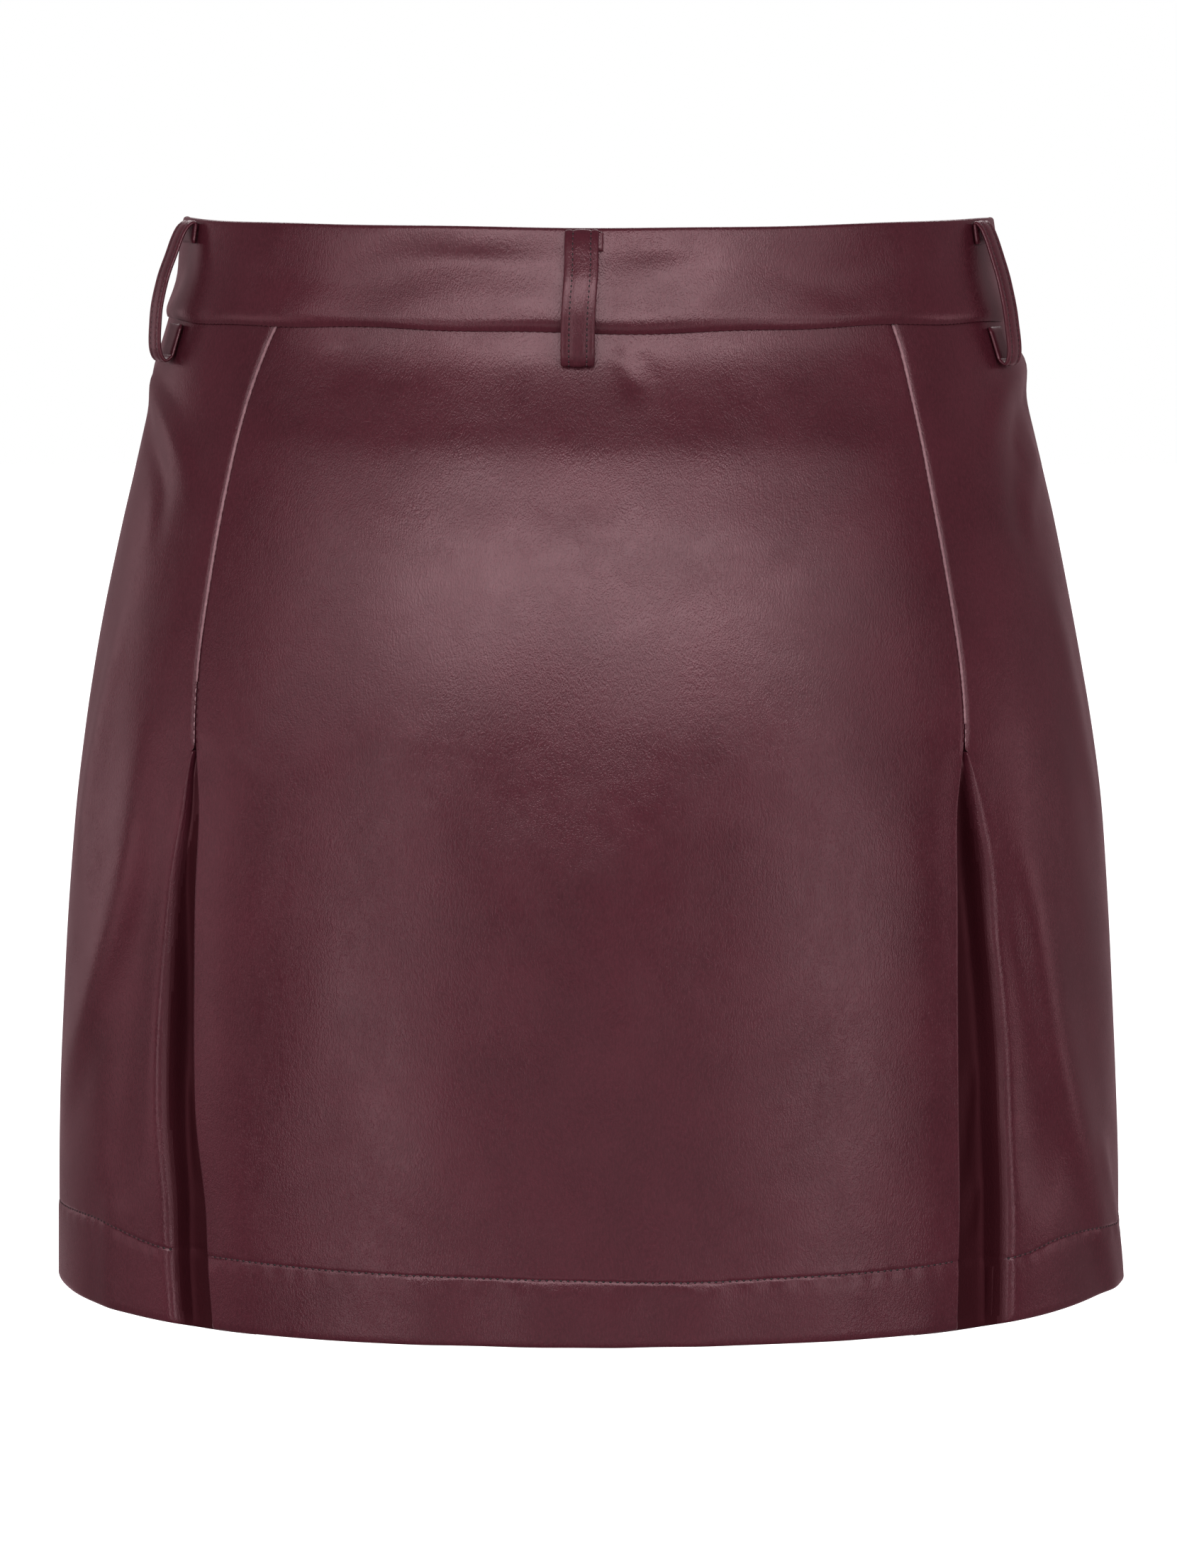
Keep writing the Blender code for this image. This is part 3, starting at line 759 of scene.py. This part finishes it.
def ripples(table, reach, drop=0.0):
    return sum(size * np.sin(reach / length + start + slant * drop)
               for size, length, start, slant in table)


def band_shape(angle, drop, out):
    """The waistband's section at an angle, less regular than the solid's."""
    outside = smooth(out, 0.0, 1.6)
    reach = angle * DEGREE
    puff = ripples(PUFFS, reach, drop)
    for place, width, at, deep, lifted_by in BAND_DENTS:
        puff = puff + lifted_by * bell(angle - place, width) * bell(drop - at, deep)
    height = np.sin(math.pi * np.clip((drop - BAND_TOP) / (BAND_END - BAND_TOP), 0, 1))
    pinched = bell(np.abs(angle) - PINCH_ANGLE, PINCH_WIDTH) * bell(drop - PINCH_DROP, 8)
    lifted = out + outside * (
        BAND_PUFF * puff * height - PINCH * pinched - LIP_FALL * smooth(drop, 33.0, 37.0)
    )
    pucker = LIP_PUCKER * np.sin(2 * math.pi * reach / LIP_PITCH)
    lip, top = smooth(drop, 32.4, 36.4), 1 - smooth(drop, 0, 5)
    lowered = drop + lip * (pucker + ripples(LIP_WANDER, reach)) + top * ripples(TOP_WANDER, reach)
    return lowered, lifted


def waistband():
    """The waistband, open at centre front, as one strip that stands for its three solids."""
    end = moved(180.0, BAND_MIDDLE, -SEAM_GAP / 2)
    section = curve([*BAND_SECTION, BAND_SECTION[0]], BAND_STEPS)[:-1]
    angles = np.linspace(-end, end, math.ceil(2 * end / BAND_ANGLE_STEP) + 1)[:, None]
    drop, lift = band_shape(angles, section[None, :, 0], section[None, :, 1])
    to_end = (end - np.abs(angles)) * DEGREE
    lift = lift - END_FALL * smooth(lift, 0.2, 1.6) * bell(to_end, END_WIDTH)
    point, out, _ = plan(angles, drop)
    points = point + out * lift[..., None]
    piece = new_object("waistband_shell", grid_mesh("waistband", points, wrap=True),
                       LEATHER_LOOK, "waistband_back", "waistband_front_left",
                       "waistband_front_right")


# ---- belt loops
LOOP_STEPS = 5
LOOP_STITCH = (-3.1, 3.2)   # from the loop's middle
LOOP_FACE = 17              # the first points of its section are its face
LOOP_TUCKED = 3             # and so many of its path's first edges hold no seen sewing
LOOP_SECTION = table_of(
    "place lift",
    (-6.0, -0.6), (-5.85, -0.25), (-5.4, -0.02), (-4.6, 0.1),
    (-3.7, 0.02), (-3.1, -0.24), (-2.5, 0.02), (-1.2, 0.2),
    (0.0, 0.25), (1.2, 0.2), (2.6, 0.02), (3.2, -0.24),
    (3.8, 0.02), (4.6, 0.12), (5.4, 0.0), (5.85, -0.25),
    (6.0, -0.6), (5.85, -0.95), (5.4, -1.2), (3.0, -1.25),
    (0.0, -1.25), (-3.0, -1.25), (-5.4, -1.2), (-5.85, -0.95),
)


def belt_loop(loop):
    """A doubled strip that stands off the waistband, with both its ends turned under. It gives
    its two lines of sewing."""
    path = curve(LOOP_PATH, LOOP_STEPS)
    path_drop, out_by = path.T
    out_by = out_by + np.maximum(out_by - LOOP_SEAT, 0) * (loop.slack - 1)
    share = path_drop / max(edge.drop for edge in LOOP_PATH)
    drop = loop.length * share
    point, out, way = plan(loop.top + (loop.bottom - loop.top) * share, drop)
    centre = point + out * out_by[:, None]
    normal = unit(np.cross(np.gradient(centre, axis=0), way))
    tab = 1 - smooth(np.arange(len(path)) / LOOP_STEPS, 1.0, 2.6)
    sway = loop.tab * tab + 0.25 * np.sin(drop / 7.0) * smooth(drop, 5, 15)
    section = np.array(LOOP_SECTION)
    points = (
        centre[:, None]
        + way[:, None] * (section[None, :, :1] + sway[:, None, None])
        + normal[:, None] * section[None, :, 1:]
    )
    piece = new_object(loop.name + "_shell", grid_mesh(loop.name, points, wrap=True),
                       LEATHER_LOOK, loop.name)
    shown = slice(LOOP_STEPS * LOOP_TUCKED, LOOP_STEPS * (len(LOOP_PATH) - 1))
    lines = []
    for place in LOOP_STITCH:
        column = int(np.argmin(np.abs(section[:LOOP_FACE, 0] - place)))
        lines.append((points[shown, column], normal[shown]))
    return lines


# ---- sewing
Thread = namedtuple("Thread", "pitch length width height sunk")
HEM_THREAD = Thread(2.5, 1.6, 0.55, 0.45, 0.06)
LOOP_THREAD = Thread(1.9, 1.1, 0.42, 0.36, 0.04)
SEAM_THREAD = Thread(3.0, 1.9, 0.5, 0.5, 0.05)
# near-black shapes painted as the shade in the holes between stitches
HEM_HOLE_SHADE = Thread(2.5, 1.2, 1.0, 0.5, -0.02)
LOOP_HOLE_SHADE = Thread(1.9, 1.1, 0.7, 0.4, -0.06)
# along a stitch from its middle, over half its length, and its girth there
STITCH_RINGS = ((-0.86, 0.62), (-0.4, 1.0), (0.4, 1.0), (0.86, 0.62))
STITCH_SIDES = 6


def stitch_shape(thread):
    """One stitch, with its ends pulled down, as a tube's grid of points."""
    turn = -2 * math.pi * np.arange(STITCH_SIDES) / STITCH_SIDES
    along, girth = np.array(STITCH_RINGS).T[:, :, None]
    return np.stack(np.broadcast_arrays(
        along * thread.length / 2,
        girth * thread.width / 2 * np.cos(turn),
        girth * thread.height / 2 * np.sin(turn) - thread.height * 0.5 * along ** 2,
    ), -1)


def on_line(values, reached, place):
    return np.array([np.interp(place, reached, column) for column in values.T])


def stitches(name, lines, thread, finish, ahead=0.0):
    """Stitches along lines of points, each line with the ways out at its points, or the near-black
    shapes, painted shade, in the holes between stitches, which are half a pitch ahead."""
    shape = stitch_shape(thread)
    number = np.arange(shape[..., 0].size).reshape(shape.shape[:2])
    shape_faces = grid_faces(number, wrap=True)
    shape = shape.reshape(-1, 3)
    points, faces = [], []
    for line, out in lines:
        steps = np.linalg.norm(np.diff(line, axis=0), axis=1)
        reached = np.concatenate([[0], np.cumsum(steps)])
        first = thread.pitch * (0.5 + ahead)
        for place in np.arange(first, reached[-1] - thread.pitch / 2, thread.pitch):
            along = unit(on_line(line, reached, place + 0.5) - on_line(line, reached, place - 0.5))
            up = on_line(out, reached, place)
            up = unit(up - along * up.dot(along))
            turned = shape @ np.array([along, np.cross(up, along), up])
            faces += [[corner + len(points) * len(shape) for corner in face]
                      for face in shape_faces]
            points.append(on_line(line, reached, place) - up * thread.sunk + turned)
    mesh = bpy.data.meshes.new(name)
    mesh.from_pydata((np.concatenate(points) * MM).tolist(), [], faces)
    new_object(name, mesh, finish)


# ---- the back seams' ridges
RIDGE_SECTION = ((-0.62, -0.5), (-0.56, 0.0), (-0.38, 0.22), (-0.12, 0.32), (0.14, 0.32),
                 (0.38, 0.22), (0.56, 0.0), (0.62, -0.5))
RIDGE_TOP = BAND_END - 0.4
SEAM_STEP = 0.8
RIDGES = table_of("name side end", ("seam_ridge_left", -1, 163), ("seam_ridge_right", 1, 177))


def seam_line(side, start, end):
    """Points along a back seam, the ways out at them, and their drops."""
    drops = np.arange(start, end, SEAM_STEP)
    angles = back_seam(side, drops)
    point, out, _ = plan(angles, drops)
    return point + out * relief(angles, drops)[:, None], out, drops


def seam_ridge(name, side, end):
    """The rolled edge of the side panel, standing along the seam, in far lighter leather that is a
    painted highlight.
    """
    centre, out, drops = seam_line(side, RIDGE_TOP, end)
    aside = unit(np.cross(np.gradient(centre, axis=0), out))
    size = 1 + 0.10 * np.sin(drops * 2.9) + 0.08 * np.sin(drops * 1.31 + 1)
    taper = 0.35 + 0.65 * smooth(end - drops, 0, 40)
    section = np.array(RIDGE_SECTION)
    points = (
        centre[:, None]
        + aside[:, None] * (section[None, :, :1] * (size * (0.75 + 0.25 * taper))[:, None, None])
        + out[:, None] * (section[None, :, 1:] * (size * taper)[:, None, None] - 0.12)
    )
    new_object(name, grid_mesh(name, points, wrap=True), RIDGE_HIGHLIGHT_LOOK)


# ---- closure
STRIP_COLUMNS = 17
ZIP_DEPTH = 1.2 + SEAM_GAP          # behind the leather's face, as is the underlap's
UNDERLAP_DEPTH = 1.1 + SEAM_GAP
UNDERLAP_INSET = 4.0                # from the waistband's edges
ZIP_DROPS = np.arange(ZIP_TOP, ZIP_END + 0.1, 6.7)
UNDERLAP_DROPS = np.linspace(BAND_TOP + UNDERLAP_INSET, BAND_END - UNDERLAP_INSET, 9)


def strip_inside(name, drops, left, right, depth, wall, finish, slot="leather"):
    """A curved strip a depth inside the face, between distances from the centre front."""
    ends = moved(180.0, drops, left), moved(180.0, drops, right)
    angles = np.linspace(*ends, STRIP_COLUMNS, axis=1)
    points = surface(angles, drops[:, None], -depth)
    piece = new_object(name + "_shell", grid_mesh(name, points), finish, name, slot=slot)
    thicken(piece, wall)


def cover_node(name, finish):
    """A CAD node that keeps its shape and takes a better finish."""
    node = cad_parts[name]
    node.data.materials.clear()
    node.data.materials.append(finish)


# ---- materials
class Nodes:
    """A short way to build a node tree. A new node's inputs are given by name, or as i0, i1 and
    so on, and what comes back is its output of a number, the first by default."""

    def __init__(self, tree):
        self.tree = tree

    def add(self, kind, output=0, settings=(), **inputs):
        node = self.tree.nodes.new(kind)
        for key, value in dict(settings).items():
            setattr(node, key, value)
        for key, value in inputs.items():
            socket = node.inputs[int(key[1:]) if key[0] == "i" else key.replace("_", " ")]
            if isinstance(value, bpy.types.NodeSocket):
                self.tree.links.new(value, socket)
            else:
                socket.default_value = value
        return node.outputs[output]

    def join(self, output, node, name):
        self.tree.links.new(output, node.inputs[name])


def worked(nodes, operation, first, second, kind="Math"):
    return nodes.add("ShaderNode" + kind, settings={"operation": operation}, i0=first, i1=second)


def scaled(nodes, vector, scale):
    return worked(nodes, "MULTIPLY", vector, scale, "VectorMath")


def new_look(name):
    """A new material, with its nodes, its shader and the place on the skirt in millimetres."""
    made = bpy.data.materials.new(name)
    made.use_nodes = True
    nodes = Nodes(made.node_tree)
    place = nodes.add("ShaderNodeTexCoord", output=3)
    millimetres = scaled(nodes, place, (1000.0, 1000.0, 1000.0))
    return made, nodes, made.node_tree.nodes["Principled BSDF"], millimetres


def noise(nodes, vector, scale, detail=2.0, output=0, **more):
    return nodes.add("ShaderNodeTexNoise", output, Vector=vector, Scale=scale, Detail=detail,
                     **more)


def ranged(nodes, value, low, high, new_low, new_high):
    return nodes.add("ShaderNodeMapRange", i0=value, i1=low, i2=high, i3=new_low, i4=new_high)


def blended(nodes, share, first, second):
    return nodes.add("ShaderNodeMix", output=2, settings={"data_type": "RGBA"},
                     i0=share, i6=first, i7=second)


def bumped(nodes, strength, millimetres, height, **below):
    return nodes.add("ShaderNodeBump", Strength=strength, Distance=millimetres * MM,
                     Height=height, **below)


def leather(name, deep, high, roughness, grain=1.0, tint=(1.0, 0.66, 0.71, 1.0)):
    """Satin leather: a warped grain of small creases, uneven in colour and in gloss."""
    made, nodes, shader, millimetres = new_look(name)
    drift = noise(nodes, millimetres, 0.045, output=1)
    drift = worked(nodes, "SUBTRACT", drift, (0.5, 0.5, 0.5), "VectorMath")
    drift = scaled(nodes, drift, (9.0, 9.0, 9.0))
    warped = worked(nodes, "ADD", millimetres, drift, "VectorMath")
    cells = nodes.add("ShaderNodeTexVoronoi", settings={"feature": "DISTANCE_TO_EDGE"},
                      Vector=scaled(nodes, warped, (1.0, 1.0, 0.75)), Scale=1.35, Randomness=1.0)
    pebble = ranged(nodes, cells, 0.0, 0.3, 0.0, 1.0)
    upright = scaled(nodes, warped, (1.0, 1.0, 0.32))
    wrinkles = ranged(nodes, noise(nodes, upright, 1.7, Distortion=0.4), 0.35, 0.65, 0.0, 1.0)
    strength = ranged(nodes, noise(nodes, millimetres, 0.02, 1.0), 0.35, 0.7, 0.55, 1.0)
    bump = bumped(nodes, strength, 0.016 * grain, pebble)
    bump = bumped(nodes, 0.7, 0.026 * grain, wrinkles, Normal=bump)
    bump = bumped(nodes, 0.5, 0.01 * grain, noise(nodes, warped, 3.2), Normal=bump)
    creased = worked(nodes, "MULTIPLY", ranged(nodes, pebble, 0.0, 1.0, 0.45, 1.0), wrinkles)
    cloud = noise(nodes, millimetres, 0.03, 3.0)
    worn = worked(nodes, "ADD", ranged(nodes, cloud, 0.3, 0.7, 0.0, 0.45),
                  ranged(nodes, creased, 0.0, 1.0, 0.0, 0.75))
    gloss = ranged(nodes, noise(nodes, millimetres, 0.07, 3.0), 0.3, 0.7,
                   roughness - GLOSS_SPREAD, roughness + GLOSS_SPREAD)
    nodes.join(blended(nodes, worn, deep, high), shader, "Base Color")
    nodes.join(gloss, shader, "Roughness")
    nodes.join(bump, shader, "Normal")
    shader.inputs["Specular Tint"].default_value = tint
    shader.inputs["IOR"].default_value = 1.5
    return made


def fibre(nodes, shader, pattern, dark, light, strength, height, roughness):
    """Fibres in two tones, raised where they are light."""
    nodes.join(blended(nodes, pattern, dark, light), shader, "Base Color")
    nodes.join(bumped(nodes, strength, height, pattern), shader, "Normal")
    shader.inputs["Roughness"].default_value = roughness


def thread_look(name, dark, light):
    """Two tones with a fine twist: tone-on-tone thread, lighter thread as a painted highlight, or
    near-black painted shade for stitch holes.
    """
    made, nodes, shader, millimetres = new_look(name)
    fibre(nodes, shader, noise(nodes, millimetres, 4.0, 1.0), dark, light, 0.5, 0.1, 0.55)
    return made


def woven(name, dark, light):
    """The zip's tape: a fine plain weave."""
    made, nodes, shader, millimetres = new_look(name)
    across, down = (
        nodes.add("ShaderNodeTexWave", settings={"bands_direction": axis}, Vector=millimetres,
                  Scale=0.5)
        for axis in "XZ"
    )
    weave = worked(nodes, "MULTIPLY", across, down)
    fibre(nodes, shader, weave, dark, light, 0.6, 0.2, 0.85)
    return made


GLOSS_SPREAD = 0.035
LEATHER_LOOK = leather("satin_leather", (0.034, 0.0057, 0.0097, 1), (0.060, 0.0104, 0.0172, 1),
                       0.245, grain=1.5)
# Painted shade: darker copies of the leather, with a darker gloss tint, for faces deep in a pleat
PLEAT_SHADE_LOOKS = [
    leather("pleat_painted_shade_1", (0.033, 0.0049, 0.0085, 1), (0.041, 0.0065, 0.0110, 1), 0.32,
            tint=(1.0, 0.56, 0.62, 1.0)),
    leather("pleat_painted_shade_2", (0.023, 0.0028, 0.0052, 1), (0.029, 0.0038, 0.0068, 1), 0.40,
            tint=(0.9, 0.40, 0.46, 1.0)),
    leather("pleat_painted_shade_3", (0.014, 0.0012, 0.0025, 1), (0.019, 0.0017, 0.0034, 1), 0.52,
            tint=(0.7, 0.22, 0.28, 1.0)),
]
# Painted highlight: the seam ridge's leather is far lighter, for the light its rolled edge catches
RIDGE_HIGHLIGHT_LOOK = leather("seam_ridge_painted_highlight", (0.15, 0.07, 0.082, 1), (0.26, 0.14, 0.155, 1), 0.5,
                     grain=0.8)
THREAD_LOOK = thread_look("thread", (0.050, 0.014, 0.020, 1), (0.11, 0.045, 0.055, 1))
# Painted shade: near-black for the shade inside the stitch holes
HOLE_SHADE_LOOK = thread_look("stitch_hole_painted_shade", (0.002, 0.0004, 0.0007, 1), (0.008, 0.0015, 0.0025, 1))
# Painted highlight: light thread for the back seams' stitches, for the ridge's highlight where
# they break it
SEAM_HIGHLIGHT_THREAD_LOOK = thread_look("thread_painted_highlight", (0.16, 0.07, 0.085, 1), (0.30, 0.16, 0.18, 1))
TAPE_LOOK = woven("zip_weave", (0.012, 0.004, 0.006, 1), (0.05, 0.018, 0.025, 1))
BUTTON_LOOK = leather("button_cover", (0.030, 0.007, 0.010, 1), (0.042, 0.010, 0.014, 1), 0.32)


# ---- making
def straight(angle, ahead):
    """A panel's edge that runs straight down, so far past its seam."""
    return lambda drop: moved(np.full_like(drop, angle), drop, ahead)


def along_seam(side, aside):
    """A panel's edge along a back seam, so far outside it."""
    return lambda drop: back_seam(side, drop, aside)


def dress():
    sewn = [
        panel("back_centre", "fold", "fold", along_seam(-1, -SEAM_GAP / 2),
              along_seam(1, -SEAM_GAP / 2), HEM_CENTRE),
        panel("side_back_left", "side", "roll", straight(-SIDE_SEAM, -SEAM_LAP),
              along_seam(-1, SEAM_GAP / 2), HEM_LEFT),
        panel("side_back_right", "roll", "side", along_seam(1, SEAM_GAP / 2),
              straight(SIDE_SEAM, SEAM_LAP), HEM_RIGHT),
        panel("front_left", "side", "side", straight(-180, -SEAM_LAP),
              straight(-SIDE_SEAM, SEAM_LAP), HEM_FRONT),
        panel("front_right", "side", "side", straight(SIDE_SEAM, -SEAM_LAP),
              straight(180, SEAM_LAP), HEM_FRONT),
    ]
    stitches("hem_stitches", sewn, HEM_THREAD, THREAD_LOOK)
    # painted shade in the hem's stitch holes
    stitches("hem_hole_shades", sewn, HEM_HOLE_SHADE, HOLE_SHADE_LOOK, ahead=0.5)

    waistband()
    loop_lines = []
    for loop in LOOPS:
        loop_lines += belt_loop(loop)
    stitches("loop_stitches", loop_lines, LOOP_THREAD, THREAD_LOOK)
    stitches("loop_hole_shades", loop_lines, LOOP_HOLE_SHADE, HOLE_SHADE_LOOK, ahead=0.5)

    for name, side, end in RIDGES:
        seam_ridge(name, side, end)
        line, out, _ = seam_line(side, end + 1, PLEAT_TOP + 1)
        # the seams' stitches are light, as a painted highlight
        stitches(name + "_stitches", [(line, out)], SEAM_THREAD, SEAM_HIGHLIGHT_THREAD_LOOK)

    strip_inside("fly_zip", ZIP_DROPS, -ZIP_WIDTH / 2, ZIP_WIDTH / 2, ZIP_DEPTH, ZIP_WALL,
                 TAPE_LOOK, slot="zip_tape")
    strip_inside("waistband_underlap", UNDERLAP_DROPS, -UNDERLAP_REACH, UNDERLAP_BACK,
                 UNDERLAP_DEPTH, UNDERLAP_WALL, LEATHER_LOOK)
    cover_node("waist_button", BUTTON_LOOK)


# ---- camera, floor and light
# Its sizes are in metres
CAMERA_DISTANCE = 2.305
CAMERA_HEIGHT = 0.0643
CAMERA_PITCH = 6.284
CAMERA_LENS = 143.5
FLOOR_DROP = 0.95
FLOOR_SIZE = 30.0

WHITE = (1.0, 1.0, 1.0)
ROSE = (1.0, 0.68, 0.73)
SOFTBOXES = table_of(
    "name azimuth elevation distance width height radiance colour",
    ("upper_box", 0, 16.8, 2.8, 3.0, 0.80, 5.5, WHITE),
    ("upper_left_box", -44, 14, 2.8, 1.5, 0.80, 2.0, WHITE),
    ("upper_right_box", 42, 14, 2.8, 1.4, 0.80, 1.8, WHITE),
    ("low_box", 0, -20, 2.8, 3.0, 0.80, 0.6, WHITE),
    ("low_left_box", -33, -10, 2.7, 0.75, 0.90, 2.2, WHITE),
    ("low_right_box", 38, -8, 2.7, 0.95, 0.80, 2.4, WHITE),
    ("left_side_box", -78, -4, 2.8, 1.6, 0.9, 1.0, ROSE),
    ("left_rim_box", -125, 2, 3.0, 1.0, 0.9, 0.7, ROSE),
    ("right_rim_box", 92, -4, 3.0, 0.9, 0.8, 1.4, ROSE),
    ("front_box", 180, 42, 2.8, 2.6, 1.0, 3.6, WHITE),
    ("front_low_left_box", -150, -24, 2.7, 0.8, 0.7, 0.4, ROSE),
    ("front_low_right_box", 150, -24, 2.7, 0.8, 0.7, 0.4, ROSE),
)
AIM = Vector((0, 0, -0.18))
AMBIENT = 0.56              # the surroundings' strength for the leather's own colour
MIRRORED = 0.33             # and for its gloss
MIRRORED_COLOUR = (1.0, 0.62, 0.68, 1)


def place_camera():
    camera = placed("camera", bpy.data.cameras.new("camera"))
    camera.location = (0, -CAMERA_DISTANCE, CAMERA_HEIGHT)
    camera.rotation_euler = (math.radians(90 - CAMERA_PITCH), 0, 0)
    camera.data.sensor_width = 36.0
    camera.data.lens = CAMERA_LENS
    bpy.context.scene.camera = camera


def softbox(box):
    """A rectangular light that faces the skirt, with an even radiance."""
    light = bpy.data.lights.new(box.name, "AREA")
    light.shape = "RECTANGLE"
    light.size, light.size_y = box.width, box.height
    light.energy = box.radiance * math.pi * box.width * box.height
    light.color = box.colour
    lamp = placed(box.name, light)
    turn, rise = math.radians(box.azimuth), math.radians(box.elevation)
    back = Vector((
        math.sin(turn) * math.cos(rise), -math.cos(turn) * math.cos(rise), math.sin(rise)
    ))
    lamp.location = AIM + back * box.distance
    lamp.rotation_mode = "QUATERNION"
    lamp.rotation_quaternion = back.to_track_quat("Z", "Y")


def surroundings():
    """White to the eye, dimmer to the leather, and dim and rosy to its gloss."""
    world = bpy.data.worlds.new("studio")
    bpy.context.scene.world = world
    world.use_nodes = True
    tree = world.node_tree
    tree.nodes.clear()
    nodes = Nodes(tree)
    seen = nodes.add("ShaderNodeLightPath", output=0)
    glossy = nodes.add("ShaderNodeLightPath", output=3)
    strength = ranged(nodes, glossy, 0.0, 1.0, AMBIENT, MIRRORED)
    strength = nodes.add("ShaderNodeMix", settings={"data_type": "FLOAT"},
                         i0=seen, i2=strength, i3=1.0)
    colour = blended(nodes, glossy, (1, 1, 1, 1), MIRRORED_COLOUR)
    shade = nodes.add("ShaderNodeBackground", Color=colour, Strength=strength)
    output = tree.nodes.new("ShaderNodeOutputWorld")
    tree.links.new(shade, output.inputs["Surface"])


def floor():
    """A pale floor, far enough below the hem for the skirt to hang as it is worn."""
    half = FLOOR_SIZE / 2
    corners = [(-half, -half), (half, -half), (half, half), (-half, half)]
    mesh = bpy.data.meshes.new("floor")
    mesh.from_pydata([(x, y, -FLOOR_DROP) for x, y in corners], [], [(0, 1, 2, 3)])
    ground = placed("floor", mesh)
    finish = bpy.data.materials.new("floor")
    finish.use_nodes = True
    shader = finish.node_tree.nodes["Principled BSDF"]
    shader.inputs["Base Color"].default_value = (0.9, 0.9, 0.9, 1)
    shader.inputs["Roughness"].default_value = 0.9
    shader.inputs["Emission Color"].default_value = (1, 1, 1, 1)
    shader.inputs["Emission Strength"].default_value = 0.9
    mesh.materials.append(finish)
    ground.visible_diffuse = ground.visible_glossy = False


bpy.context.scene.view_settings.view_transform = "Standard"
place_camera()
dress()
for box in SOFTBOXES:
    softbox(box)
surroundings()
floor()
